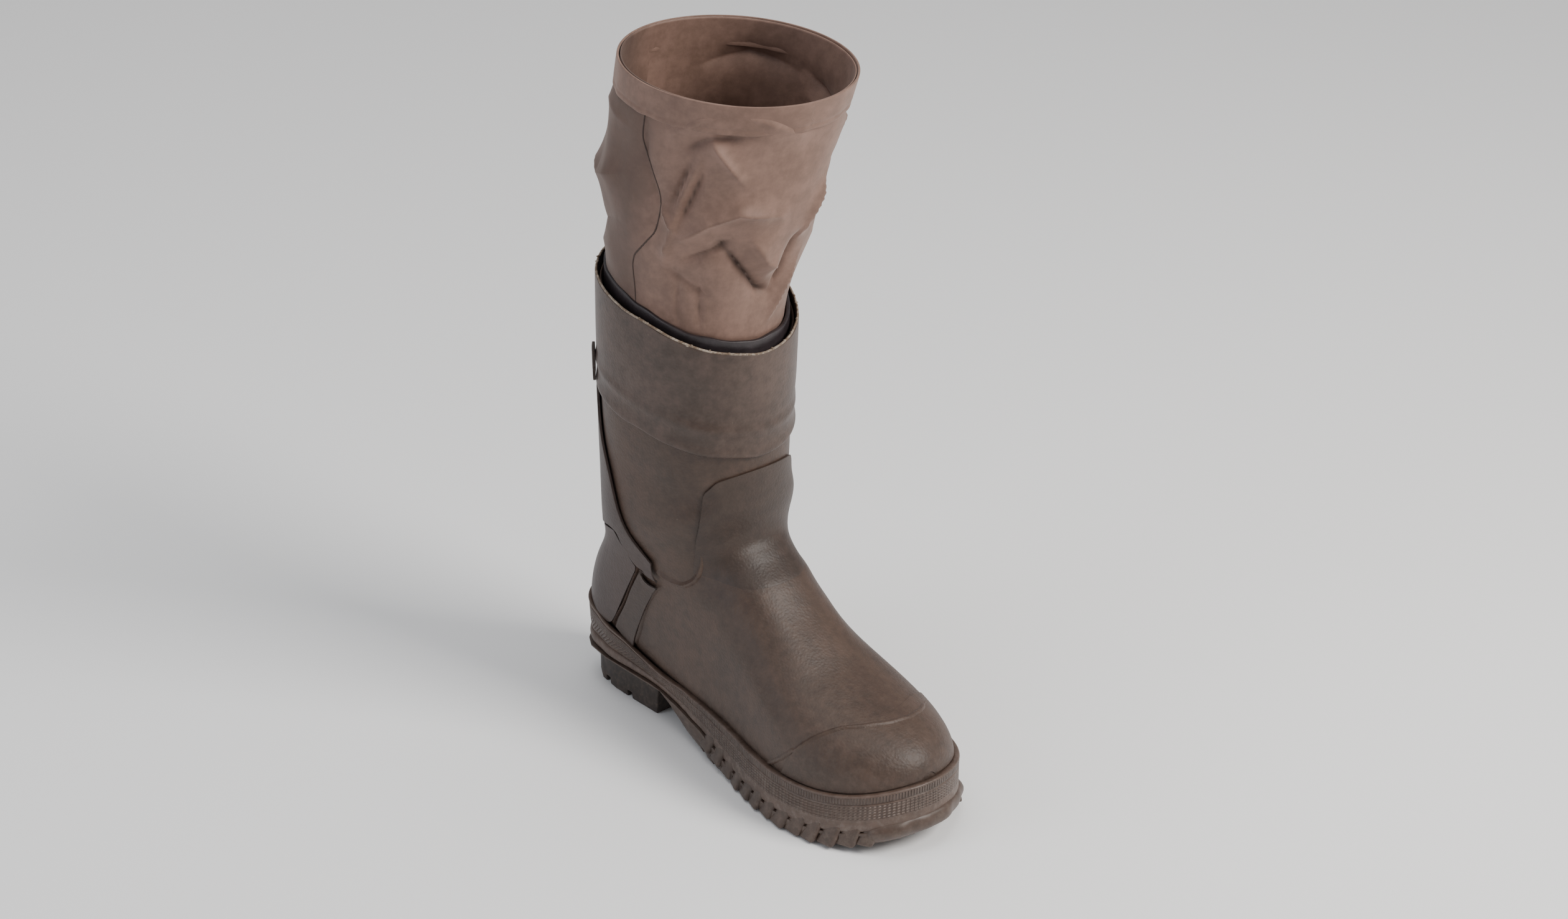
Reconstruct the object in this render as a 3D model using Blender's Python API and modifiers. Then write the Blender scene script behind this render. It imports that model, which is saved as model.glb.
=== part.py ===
# Bootfoot wader, left foot: a rubber boot with the lower end of its fabric leg, standing empty.
# Z is up, the toe points to -Y and the foot's inner side is -X.
# The origin is on the floor under the middle of the heel. Sizes are in metres.

import math

import bmesh
import bpy
import numpy as np
from mathutils import Vector

# Foot
FOOT_LENGTH = 0.306
HEEL_BACK_Y = 0.039
BALL_WIDTH = 0.122
HEEL_WIDTH = 0.080
INSTEP_HEIGHT = 0.142
HEEL_SEAT_HEIGHT = 0.035
BALL_SEAT_HEIGHT = 0.020
TOE_SPRING = 0.015

# Shaft
COLLAR_HEIGHT = 0.306
SHAFT_FRONT_Y = -0.105
SHAFT_DEPTH = 0.136
SHAFT_WIDTH = 0.117
ANKLE_WIDTH = 0.110
COLLAR_SLOPE = 0.150
COLLAR_DIP = 0.009

# Walls and layers
WALL = 0.003
GAP = 0.0003
LAYER_GAP = 0.0006
OVERLAY = 0.0016
CAP_THICKNESS = 0.0012
CUFF_THICKNESS = 0.0022
CUFF_HEIGHT = 0.078
CUFF_DIP = -0.007
STRAP_THICKNESS = 0.0028
EDGE_CLEAR = 0.0012
TAB_HEIGHT = 0.022
TAB_WIDTH = 0.012
TAB_THICKNESS = 0.002
LINER_THICKNESS = 0.003
LINER_RISE = 0.006
LINER_DEPTH = 0.022

# Sole
FOXING_THICKNESS = 0.0032
FOXING_HEEL_HEIGHT = 0.061
FOXING_WAIST_HEIGHT = 0.040
FOXING_BALL_HEIGHT = 0.036
FOXING_FOOT = 0.0100
HEEL_BLOCK_HEIGHT = 0.025
HEEL_BREAST = 0.27
HEEL_INSET = 0.0060
LUG_DEPTH = 0.0075
LUG_PITCH = 0.0135
LUG_SLOT = 0.0044
LUG_LENGTH = 0.019
LUG_SINK = 0.002
LUG_EDGE_INSET = 0.0135
HEEL_SEAT_SHARE = 0.53
HEEL_BEVEL_HEIGHT = 0.004
LIP_STEP = 0.0012
INSOLE_THICKNESS = 0.004

# Leg
LEG_TOP_HEIGHT = 0.465
LEG_BOTTOM_HEIGHT = 0.262
LEG_WALL = 0.0016
LEG_CLEARANCE = 0.0034
LEG_TOP_DEPTH = 0.156
LEG_TOP_WIDTH = 0.140
LEG_LEAN = 0.023
LEG_ASIDE = 0.008
HEM_HEIGHT = 0.020
HEM_THICKNESS = 0.0016

AROUND = 32

# Slices through the last, toe first.
# front_t and back_t: upper and lower end of the slice, share of FOOT_LENGTH from the heel back
# front_z: share of INSTEP_HEIGHT; back_z: height over the footbed, share of HEEL_SEAT_HEIGHT
# inner, outer: the two edges in plan, share of BALL_WIDTH; ridge: x of the top line, the same share
# widest: where the slice is widest, -1 at its lower end and 1 at its upper end
# top, bottom: roundness of the two ends, 2 for an ellipse and more for a squarer end
# flare: how much wider the upper end is than the lower one
FOOT_SLICES = [
    # front_t back_t front_z back_z inner outer ridge widest top bottom flare
    (0.998, 0.998, 0.335, 0.06, -0.050, 0.072, 0.010, 0.0, 2.0, 2.5, 0.0),
    (0.986, 0.988, 0.392, 0.02, -0.140, 0.175, 0.008, -0.2, 2.0, 4.0, 0.0),
    (0.960, 0.965, 0.450, 0.00, -0.235, 0.280, 0.005, -0.3, 2.0, 6.0, 0.0),
    (0.920, 0.925, 0.500, 0.00, -0.320, 0.385, 0.000, -0.3, 2.0, 7.0, 0.0),
    (0.870, 0.870, 0.540, 0.00, -0.388, 0.465, -0.010, -0.3, 2.0, 8.0, 0.0),
    (0.810, 0.800, 0.575, 0.00, -0.437, 0.530, -0.020, -0.3, 2.05, 8.0, 0.0),
    (0.745, 0.720, 0.635, 0.00, -0.444, 0.545, -0.030, -0.3, 2.1, 8.0, 0.0),
    (0.680, 0.630, 0.718, 0.00, -0.400, 0.518, -0.030, -0.3, 2.2, 8.0, 0.0),
    (0.615, 0.540, 0.820, 0.00, -0.350, 0.468, -0.025, -0.3, 2.3, 7.0, 0.0),
    (0.557, 0.450, 0.925, 0.00, -0.325, 0.425, -0.015, -0.2, 2.4, 6.5, 0.0),
    (0.512, 0.360, 1.000, 0.00, -0.330, 0.395, -0.005, -0.1, 2.4, 5.5, 0.04),
    (0.487, 0.270, 1.045, 0.00, -0.338, 0.366, 0.000, 0.0, 2.3, 6.0, 0.08),
    (0.477, 0.180, 1.078, 0.00, -0.342, 0.356, 0.000, 0.1, 2.2, 5.6, 0.12),
    (0.474, 0.095, 1.108, 0.00, -0.345, 0.352, 0.000, 0.15, 2.2, 4.6, 0.14),
]
# Slices from the heel's lower corner up to the ankle.
# front_y: over SHAFT_FRONT_Y, share of SHAFT_DEPTH; back_t: share of FOOT_LENGTH from the heel back
# front_z, back_z: share of INSTEP_HEIGHT; half: half width, share of HEEL_WIDTH
HEEL_SLICES = [
    # front_y back_t front_z back_z half widest top bottom flare
    (-0.002, 0.024, 1.138, 0.270, 0.555, 0.20, 2.2, 3.3, 0.14),
    (-0.004, 0.000, 1.168, 0.410, 0.575, 0.20, 2.2, 2.6, 0.14),
    (-0.006, 0.006, 1.200, 0.545, 0.600, 0.20, 2.2, 2.35, 0.13),
    (-0.008, 0.030, 1.240, 0.665, 0.635, 0.15, 2.2, 2.2, 0.10),
    (-0.010, 0.062, 1.295, 0.780, 0.675, 0.10, 2.1, 2.1, 0.06),
]
# Level slices of the shaft. front, back: y of the two ends over SHAFT_FRONT_Y, share of SHAFT_DEPTH
# rise_f, rise_b: share of the way from INSTEP_HEIGHT to COLLAR_HEIGHT
# half: half width, share of the way from ANKLE_WIDTH to SHAFT_WIDTH
SHAFT_SLICES = [
    # front rise_f back rise_b half
    (-0.010, 0.330, 0.915, -0.080, 0.00),
    (-0.010, 0.440, 0.928, 0.100, 0.15),
    (-0.010, 0.570, 0.950, 0.320, 0.38),
    (-0.009, 0.700, 0.970, 0.550, 0.62),
    (-0.008, 0.840, 0.988, 0.780, 0.84),
    (-0.006, 1.000, 1.000, 1.000, 1.00),
    (-0.006, 1.150, 1.008, 1.150, 1.08),
]
# The back stay and its two straps. turn: way round from the back, share of the slice; low and high:
# the piece's two edges, in slices counted down from the collar; high 0 follows the cuff
STAY_EDGES = [
    # turn low high
    (0.000, 5.25, 0.0),
    (0.0625, 5.25, 0.0),
    (0.110, 5.25, 0.0),
    (0.125, 5.25, 2.30),
    (0.150, 5.30, 3.10),
    (0.181, 5.40, 3.60),
    (0.200, 5.80, 4.20),
    (0.214, 6.55, 4.80),
    (0.228, 7.30, 5.70),
    (0.250, 8.40, 6.75),
    (0.275, 9.70, 8.10),
    (0.292, 10.45, 9.00),
]
# The raised line in front of the heel counter, and the one in front of the side strip.
# turn: way round from the back; first, second: place of the lines, in slices counted from the collar down
SIDE_LINES = [
    # turn_1 first turn_2 second
    (0.094, 11.20, 0.100, 12.25),
    (0.150, 10.75, 0.150, 11.95),
    (0.205, 10.25, 0.200, 11.60),
    (0.240, 9.50, 0.240, 11.15),
    (0.256, 8.95, 0.285, 10.70),
]
# The toe cap's edge: off_top: way from the top line, share of the slice; edge: its slice
CAP_EDGE = [
    # off_top edge
    (0.00, 3.9),
    (0.06, 4.2),
    (0.12, 4.8),
    (0.20, 5.35),
    (0.30, 5.9),
]
# The shin panel. slice: counted from the collar down; half: half its width, share of the slice
PANEL_SIDES = [
    # slice half
    (4.50, 0.108),
    (5.00, 0.116),
    (7.00, 0.118),
    (10.00, 0.124),
    (11.00, 0.142),
    (12.00, 0.160),
    (13.50, 0.162),
    (15.00, 0.150),
]
# The leg, from its end inside the boot to its hem. h: share of its height
# shift: lean, share of LEG_LEAN; aside: the same to the outer side
# deep, wide: share of the way from the boot's inside to the size of the leg's top
LEG_SECTIONS = [
    # h shift aside deep wide
    (0.00, 0.00, 0.00, 0.00, 0.00),
    (0.18, 0.00, 0.00, 0.02, 0.03),
    (0.30, 0.06, 0.04, 0.16, 0.19),
    (0.42, 0.22, 0.14, 0.42, 0.45),
    (0.56, 0.42, 0.26, 0.63, 0.68),
    (0.70, 0.60, 0.40, 0.77, 0.82),
    (0.85, 0.80, 0.66, 0.88, 0.92),
    (1.00, 1.00, 1.00, 1.00, 1.00),
]


def heel_share(y):
    return (HEEL_BACK_Y - y) / FOOT_LENGTH


def curve_value(share, points):
    # smooth run through a few named heights
    xs = [p[0] for p in points]
    ys = [p[1] for p in points]
    if share <= xs[0]:
        return ys[0]
    if share >= xs[-1]:
        return ys[-1]
    i = max(k for k in range(len(xs) - 1) if xs[k] <= share)
    u = (share - xs[i]) / (xs[i + 1] - xs[i])
    u = u * u * (3 - 2 * u)
    return ys[i] + (ys[i + 1] - ys[i]) * u


def spring(share):
    # the sole's rise in front of the ball
    u = max(0.0, (share - 0.80) / 0.22)
    return TOE_SPRING * u ** 2


def footbed(y):
    share = heel_share(y)
    level = curve_value(share, [(0.22, HEEL_SEAT_HEIGHT), (0.62, BALL_SEAT_HEIGHT)])
    return level + spring(share)


def foxing_top(y):
    share = heel_share(y)
    points = [(0.02, FOXING_HEEL_HEIGHT), (0.36, FOXING_WAIST_HEIGHT), (0.68, FOXING_BALL_HEIGHT)]
    return curve_value(share, points) + spring(share)


def foxing_foot(y):
    share = heel_share(y)
    waist = HEEL_BLOCK_HEIGHT - 0.004
    points = [(HEEL_BREAST, HEEL_BLOCK_HEIGHT + 0.003), (0.40, waist), (0.60, FOXING_FOOT)]
    return curve_value(share, points) + spring(share)


def slice_rows():
    rows = []
    for ft, bt, fz, bz, inner, outer, ridge, widest, top, bottom, flare in FOOT_SLICES:
        front_y = HEEL_BACK_Y - ft * FOOT_LENGTH
        back_y = HEEL_BACK_Y - bt * FOOT_LENGTH
        back_z = footbed(back_y) + bz * HEEL_SEAT_HEIGHT
        front_z = fz * INSTEP_HEIGHT + 0.4 * spring(ft)
        inner_x = inner * BALL_WIDTH
        outer_x = outer * BALL_WIDTH
        if bt < 0.30:
            blend = (0.30 - bt) / 0.30
            inner_x += blend * (-HEEL_SEAT_SHARE * HEEL_WIDTH - inner_x)
            outer_x += blend * (HEEL_SEAT_SHARE * HEEL_WIDTH - outer_x)
        middle = 0.5 * (inner_x + outer_x)
        half = 0.5 * (outer_x - inner_x)
        rows.append(
            (front_y, front_z, back_y, back_z, middle, half, ridge * BALL_WIDTH, widest, top, bottom, flare)
        )
    for fy, bt, fz, bz, half, widest, top, bottom, flare in HEEL_SLICES:
        front_y = SHAFT_FRONT_Y + fy * SHAFT_DEPTH
        back_y = HEEL_BACK_Y - bt * FOOT_LENGTH
        front_z = fz * INSTEP_HEIGHT
        back_z = bz * INSTEP_HEIGHT
        rows.append(
            (front_y, front_z, back_y, back_z, 0.0, half * HEEL_WIDTH, 0.0, widest, top, bottom, flare)
        )
    height = COLLAR_HEIGHT - INSTEP_HEIGHT
    for front, rise_f, back, rise_b, wide in SHAFT_SLICES:
        front_y = SHAFT_FRONT_Y + front * SHAFT_DEPTH
        back_y = SHAFT_FRONT_Y + back * SHAFT_DEPTH
        level_f = INSTEP_HEIGHT + rise_f * height
        level_b = INSTEP_HEIGHT + rise_b * height
        if rise_f >= 1.0:
            level_f -= 0.5 * COLLAR_SLOPE * SHAFT_DEPTH
            level_b += 0.5 * COLLAR_SLOPE * SHAFT_DEPTH
        half = 0.5 * (ANKLE_WIDTH + wide * (SHAFT_WIDTH - ANKLE_WIDTH))
        rows.append((front_y, level_f, back_y, level_b, 0.0, half, 0.0, 0.0, 2.05, 2.05, 0.0))
    return np.array(rows)


ROWS = slice_rows()
COLLAR = len(ROWS) - 2


def row_at(s):
    # smooth curve through the slices
    i = int(min(max(math.floor(s), 0), len(ROWS) - 2))
    u = s - i
    before = ROWS[i - 1] if i > 0 else 2 * ROWS[0] - ROWS[1]
    after = ROWS[i + 2] if i + 2 < len(ROWS) else 2 * ROWS[-1] - ROWS[-2]
    a = ROWS[i]
    b = ROWS[i + 1]
    return 0.5 * (
        2 * a
        + (b - before) * u
        + (2 * before - 5 * a + 4 * b - after) * u ** 2
        + (3 * a - before - 3 * b + after) * u ** 3
    )


HALF_SLICES = {}


def half_slice(s, side):
    # points from the lower end to the upper end, with a share that bunches up at the corners
    key = (round(s, 4), side)
    if key in HALF_SLICES:
        return HALF_SLICES[key]
    front_y, front_z, back_y, back_z, middle, half, ridge, widest, top, bottom, flare = row_at(s)
    along = -np.cos(np.linspace(0.0, math.pi, 91))
    low = np.clip((widest - along) / (1 + widest), 0, 1)
    high = np.clip((along - widest) / (1 - widest), 0, 1)
    width = np.where(along < widest, (1 - low ** bottom) ** (1 / bottom), (1 - high ** top) ** (1 / top))
    blend = high * high * (3 - 2 * high)
    x = middle + (ridge - middle) * blend + side * half * width * (1 + flare * along)
    y = 0.5 * (front_y + back_y) + 0.5 * (front_y - back_y) * along
    z = 0.5 * (front_z + back_z) + 0.5 * (front_z - back_z) * along
    points = np.stack([x, y, z], 1)
    steps = np.diff(points, axis=0)
    lengths = np.linalg.norm(steps, axis=1)
    units = steps / lengths[:, None]
    turns = np.arccos(np.clip((units[1:] * units[:-1]).sum(1), -1, 1))
    bend = np.concatenate([[0], 0.5 * turns]) + np.concatenate([0.5 * turns, [0]])
    pace = 0.75 * lengths / lengths.sum() + 0.25 * bend / max(bend.sum(), 1e-6)
    share = np.concatenate([[0], np.cumsum(pace)])
    HALF_SLICES[key] = (points, share / share[-1])
    return HALF_SLICES[key]


def skin_point(s, v):
    # v runs round the slice: 0 at the sole or heel, 0.5 at the instep or shin, outer side first
    v = v % 1.0
    side = 1 if v <= 0.5 else -1
    points, share = half_slice(s, side)
    u = 2 * v if v <= 0.5 else 2 * (1 - v)
    return np.array([np.interp(u, share, points[:, k]) for k in range(3)])


def skin(s, v, offset=0.0):
    point = skin_point(s, v)
    if offset == 0.0:
        return point
    low = max(s - 0.04, 0.0)
    high = min(s + 0.04, len(ROWS) - 1.0)
    along = skin_point(high, v) - skin_point(low, v)
    across = skin_point(s, v + 0.008) - skin_point(s, v - 0.008)
    normal = np.cross(along, across)
    return point + offset * normal / np.linalg.norm(normal)


def collar_at(v):
    # the collar's edge dips at the shin
    front = 0.5 - 0.5 * math.cos(2 * math.pi * v)
    row_height = np.linalg.norm(skin_point(COLLAR, v) - skin_point(COLLAR - 1, v))
    return COLLAR - COLLAR_DIP * front ** 3 / row_height


def drop_from_collar(v, depth):
    # slice number that lies the given depth below the collar's edge
    s = collar_at(v)
    left = depth
    while left > 0 and s > 1:
        step = min(s, 0.25)
        size = np.linalg.norm(skin_point(s, v) - skin_point(s - step, v))
        if size >= left:
            return s - step * left / size
        left -= size
        s -= step
    return s


def rise_from_collar(v, height):
    s = collar_at(v)
    size = np.linalg.norm(skin_point(s + 0.3, v) - skin_point(s, v))
    return s + 0.3 * height / size


def v_at_height(s, side, height_of, clear):
    # where the slice passes the given height on one side, searched from the sole up
    low = 0.0
    high = 0.42
    for _ in range(26):
        middle = 0.5 * (low + high)
        v = middle if side > 0 else 1 - middle
        x, y, z = skin_point(s, v)
        if z < height_of(y) + clear:
            low = middle
        else:
            high = middle
    return low if side > 0 else 1 - low


def clear_scene():
    for obj in list(bpy.data.objects):
        bpy.data.objects.remove(obj, do_unlink=True)


def collection_named(name):
    made = bpy.data.collections.new(name)
    bpy.context.scene.collection.children.link(made)
    return made


clear_scene()
PART = collection_named("bootfoot_wader")
CUTTERS = collection_named("cutters")


def material(name, colour, roughness, metallic=0.0):
    made = bpy.data.materials.new(name)
    made.use_nodes = True
    shader = made.node_tree.nodes["Principled BSDF"]
    shader.inputs["Base Color"].default_value = (*colour, 1.0)
    shader.inputs["Roughness"].default_value = roughness
    shader.inputs["Metallic"].default_value = metallic
    made.diffuse_color = (*colour, 1.0)
    return made


BROWN_RUBBER = material("brown_rubber", (0.085, 0.060, 0.048), 0.45)
DARK_RUBBER = material("dark_rubber", (0.045, 0.034, 0.029), 0.50)
SOLE_RUBBER = material("sole_rubber", (0.060, 0.044, 0.036), 0.60)
BLACK_BAND = material("black_band", (0.012, 0.012, 0.016), 0.40)
LEG_FABRIC = material("leg_fabric", (0.130, 0.085, 0.070), 0.85)
LINING = material("lining", (0.030, 0.027, 0.026), 0.90)


def object_from(name, bm, look, collection=None):
    # quads are split here, so that two pieces close together keep the same diagonals everywhere
    bmesh.ops.triangulate(bm, faces=bm.faces, quad_method="BEAUTY", ngon_method="BEAUTY")
    bmesh.ops.recalc_face_normals(bm, faces=bm.faces)
    if bm.calc_volume(signed=True) < 0.0:
        bmesh.ops.reverse_faces(bm, faces=bm.faces)
    mesh = bpy.data.meshes.new(name)
    bm.to_mesh(mesh)
    bm.free()
    mesh.materials.append(look)
    mesh.shade_smooth()
    mesh.set_sharp_from_angle(angle=math.radians(40))
    made = bpy.data.objects.new(name, mesh)
    (collection or PART).objects.link(made)
    return made


def add_grid(bm, points, wrap):
    # quads between rows of points; wrap closes each row into a ring
    rows = [[bm.verts.new(p) for p in row] for row in points]
    count = len(rows[0])
    for a, b in zip(rows, rows[1:]):
        for j in range(count if wrap else count - 1):
            k = (j + 1) % count
            bm.faces.new((a[j], a[k], b[k], b[j]))
    return rows


def join_rows(bm, a, b, wrap):
    count = len(a)
    for j in range(count if wrap else count - 1):
        k = (j + 1) % count
        bm.faces.new((a[j], a[k], b[k], b[j]))


def layer(name, places, inner, outer, look, wrap=False):
    # a closed piece cut between two forms larger than the last: places is a grid of (s, v)
    bm = bmesh.new()
    outside = add_grid(bm, [[skin(s, v, outer) for s, v in row] for row in places], wrap)
    inside = add_grid(bm, [[skin(s, v, inner) for s, v in row] for row in places], wrap)
    join_rows(bm, outside[0], inside[0], wrap)
    join_rows(bm, outside[-1], inside[-1], wrap)
    if not wrap:
        join_rows(bm, [r[0] for r in outside], [r[0] for r in inside], False)
        join_rows(bm, [r[-1] for r in outside], [r[-1] for r in inside], False)
    return object_from(name, bm, look)


def spaced(start, end, count):
    return [start + (end - start) * i / (count - 1) for i in range(count)]


def ring_shares(count):
    return [j / count for j in range(count)]


UPPER_SLICES = [0.0, 0.5, 1.0, 1.5, 2.0, 2.6, 3.3, 4.1, 5.0, 6.0, 7.0, 8.0, 9.0, 10.0, 11.0, 12.0, 13.0,
                14.0, 15.0, 15.5, 16.0, 16.5, 17.0, 17.5, 18.0, 18.5, 19.0, 20.0, 21.0, 22.0, 23.0]


def upper_grid(offset):
    # the upper's own slices: level rows below, then rows that follow the collar's dip
    shares = ring_shares(AROUND)
    top_edge = [collar_at(v) for v in shares]
    rows = []
    for s in [s for s in UPPER_SLICES if s < COLLAR - 0.6]:
        rows.append([(s, v) for v in shares])
    rows.append([(t - 0.10, v) for t, v in zip(top_edge, shares)])
    points = [[skin(s, v, offset) for s, v in row] for row in rows]
    for point in points[0]:
        point[1] -= offset
    return points, rows


def make_upper():
    points, rows = upper_grid(0.0)
    bm = bmesh.new()
    made = add_grid(bm, points, True)
    bm.faces.new(made[0])
    # the sole closes this opening: it leaves a margin that turns in under the foot
    opening = []
    for face in bm.faces:
        shares = [j for row in made for j, vert in enumerate(row) if vert in face.verts]
        levels = [i for i, row in enumerate(made) for vert in row if vert in face.verts]
        near = all(j <= 3 or j >= AROUND - 3 for j in shares)
        if near and min(levels) >= 4 and rows[max(levels)][0][0] <= 12.0:
            opening.append(face)
    bmesh.ops.delete(bm, geom=opening, context="FACES")
    upper = object_from("upper", bm, BROWN_RUBBER)
    wall = upper.modifiers.new("wall", "SOLIDIFY")
    wall.thickness = WALL
    wall.offset = -1.0
    wall.use_even_offset = False
    return upper


def level_ring(offset, height_of, count):
    # ring where the last, grown by offset, passes a height over the floor; starts at the heel back
    bm = bmesh.new()
    points = upper_grid(offset)[0]
    made = add_grid(bm, points, True)
    bm.faces.new(made[0])
    for vert in bm.verts:
        vert.co.z -= height_of(vert.co.y)
    bmesh.ops.triangulate(bm, faces=bm.faces)
    cut = bmesh.ops.bisect_plane(
        bm, geom=bm.verts[:] + bm.edges[:] + bm.faces[:], plane_co=(0, 0, 0), plane_no=(0, 0, 1), dist=1e-7
    )
    edges = [e for e in cut["geom_cut"] if isinstance(e, bmesh.types.BMEdge)]
    links = {}
    for edge in edges:
        a, b = edge.verts
        links.setdefault(a, []).append(b)
        links.setdefault(b, []).append(a)
    start = max(links, key=lambda vert: vert.co.y)
    chain = [start]
    previous = None
    while True:
        here = chain[-1]
        following = [n for n in links[here] if n is not previous and (n not in chain or n is start)]
        if not following or (following[0] is start and len(chain) > 2):
            break
        previous = here
        chain.append(following[0])
    loop = [Vector(vert.co) for vert in chain]
    bm.free()
    if loop[1].x < loop[0].x:
        loop = [loop[0]] + loop[:0:-1]
    toe = min(range(len(loop)), key=lambda i: loop[i].y)
    first = even_run(loop[: toe + 1], count // 2 + 1)
    second = even_run(loop[toe:] + [loop[0]], count // 2 + 1)
    ring = first[:-1] + second[:-1]
    return [Vector((p.x, p.y, height_of(p.y))) for p in ring]


def even_run(points, count):
    lengths = [0.0]
    for a, b in zip(points, points[1:]):
        lengths.append(lengths[-1] + (Vector((b.x, b.y)) - Vector((a.x, a.y))).length)
    made = []
    for i in range(count):
        want = lengths[-1] * i / (count - 1)
        made.append(
            Vector([float(np.interp(want, lengths, [p[k] for p in points])) for k in range(3)])
        )
    return made


def grow(ring, distance):
    # moves a ring outwards in plan
    made = []
    count = len(ring)
    for i, point in enumerate(ring):
        along = ring[(i + 1) % count] - ring[i - 1]
        out = Vector((-along.y, along.x, 0.0)).normalized()
        made.append(point + out * distance)
    return made


def at_height(ring, height_of):
    # heights come from the sole's own plan ring, so that rings of one number lie level across
    return [Vector((p.x, p.y, height_of(q.y))) for p, q in zip(ring, PLAN)]


SOLE_RING = 80


def plan_ring():
    return level_ring(0.0, lambda y: 0.5 * (footbed(y) + foxing_top(y)), SOLE_RING)


def foxing_level(share):
    # height over the footbed, as a share of the way up to the foxing's edge
    return lambda y: footbed(y) + share * (foxing_top(y) - footbed(y))


PLAN = plan_ring()
SEAT = level_ring(4 * GAP, foxing_level(0.36), SOLE_RING)


def make_foxing():
    top_in = level_ring(3.5 * GAP, foxing_top, SOLE_RING)
    high_in = level_ring(7 * GAP, foxing_level(0.72), SOLE_RING)
    low_in = grow(SEAT, 4 * GAP)
    top_out = level_ring(FOXING_THICKNESS * 0.8, lambda y: foxing_top(y) - 0.0004, SOLE_RING)
    waist = at_height(PLAN, lambda y: 0.5 * (foxing_top(y) + foxing_foot(y)))
    waist_out = grow(waist, FOXING_THICKNESS * 1.05)
    foot_out = grow(at_height(PLAN, foxing_foot), FOXING_THICKNESS * 1.15)
    foot_in = grow(at_height(PLAN, foxing_foot), 3 * GAP)
    bm = bmesh.new()
    rings = add_grid(bm, [top_in, top_out, waist_out, foot_out, foot_in, low_in, high_in], True)
    join_rows(bm, rings[-1], rings[0], True)
    return object_from("foxing", bm, BROWN_RUBBER)


def ladder(bm, ring):
    # fills a ring that is even on both sides with quads from side to side
    count = len(ring)
    bm.faces.new((ring[0], ring[1], ring[-1]))
    for i in range(1, count // 2 - 1):
        bm.faces.new((ring[i], ring[i + 1], ring[count - i - 1], ring[count - i]))
    half = count // 2
    bm.faces.new((ring[half - 1], ring[half], ring[half + 1]))


def tread_height(y):
    share = heel_share(y)
    points = [
        (HEEL_BREAST + 0.02, HEEL_BLOCK_HEIGHT + GAP), (0.40, 0.007), (0.50, 0.0)
    ]
    return curve_value(share, points) + spring(share)


def lip_height(y):
    # the tread's upper edge, under the foxing
    return foxing_foot(y) - 2 * GAP


def make_outsole():
    inner = grow(PLAN, -3 * GAP)
    seat = grow(SEAT, -7 * GAP)
    lip = grow(PLAN, FOXING_THICKNESS * 1.15 + 0.0010)

    def lip_foot(y):
        return max(0.35 * lip_height(y) + 0.65 * tread_height(y), tread_height(y) + LIP_STEP)

    bm = bmesh.new()
    levels = [
        [Vector((p.x, p.y, footbed(p.y) - 2 * GAP)) for p in seat],
        at_height(inner, lip_height),
        at_height(lip, lip_height),
        at_height(lip, lip_foot),
        at_height(grow(PLAN, FOXING_THICKNESS * 0.7), tread_height),
    ]
    rings = add_grid(bm, levels, True)
    ladder(bm, rings[0])
    ladder(bm, rings[-1])
    return object_from("outsole", bm, SOLE_RUBBER)


def add_box(bm, centre, size, turn):
    made = bmesh.ops.create_cube(bm, size=1.0)
    for vert in made["verts"]:
        x = vert.co.x * size[0]
        y = vert.co.y * size[1]
        vert.co.x, vert.co.y = (
            centre[0] + x * math.cos(turn) - y * math.sin(turn),
            centre[1] + x * math.sin(turn) + y * math.cos(turn),
        )
        vert.co.z = centre[2] + vert.co.z * size[2]


def cut_lugs(outsole):
    # slots round the forefoot's edge and bars across its middle
    bm = bmesh.new()
    edge = even_run(PLAN + [PLAN[0]], 400)
    length = sum((b - a).length for a, b in zip(edge, edge[1:]))
    count = int(length / LUG_PITCH)
    for k in range(count):
        i = int((k + 0.5) * (len(edge) - 1) / count)
        here = edge[i]
        share = heel_share(here.y)
        if share < 0.44 or share > 0.95:
            continue
        along = edge[i + 1] - edge[i - 1]
        out = Vector((-along.y, along.x, 0)).normalized()
        skew = 0.35 if here.x > 0 else -0.35
        turn = math.atan2(out.y, out.x) + skew
        centre = here + out * 0.001
        middle = tread_height(here.y) - LUG_SINK + 0.5 * LUG_DEPTH
        size = (LUG_LENGTH, LUG_SLOT, LUG_DEPTH + 2 * LUG_SINK)
        add_box(bm, (centre.x, centre.y, middle), size, turn)
    bars = 7
    for k in range(bars):
        share = 0.48 + 0.44 * (k + 0.5) / bars
        y = HEEL_BACK_Y - share * FOOT_LENGTH
        near = [p for p in PLAN if abs(p.y - y) < 0.012]
        left = min(p.x for p in near) + LUG_EDGE_INSET
        right = max(p.x for p in near) - LUG_EDGE_INSET
        middle = 0.5 * (left + right)
        for side in (-1, 1):
            size = 0.5 * (right - left) - 0.003
            add_box(
                bm,
                (middle + side * (0.5 * size + 0.0025), y, tread_height(y) - LUG_SINK + 0.4 * LUG_DEPTH),
                (size, LUG_SLOT, 0.8 * LUG_DEPTH + 2 * LUG_SINK),
                side * 0.22,
            )
    bmesh.ops.recalc_face_normals(bm, faces=bm.faces)
    cutter = object_from("lug_slots", bm, SOLE_RUBBER, CUTTERS)
    cutter.hide_render = True
    cutter.display_type = "WIRE"
    cut = outsole.modifiers.new("lugs", "BOOLEAN")
    cut.operation = "DIFFERENCE"
    cut.object = cutter


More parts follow.
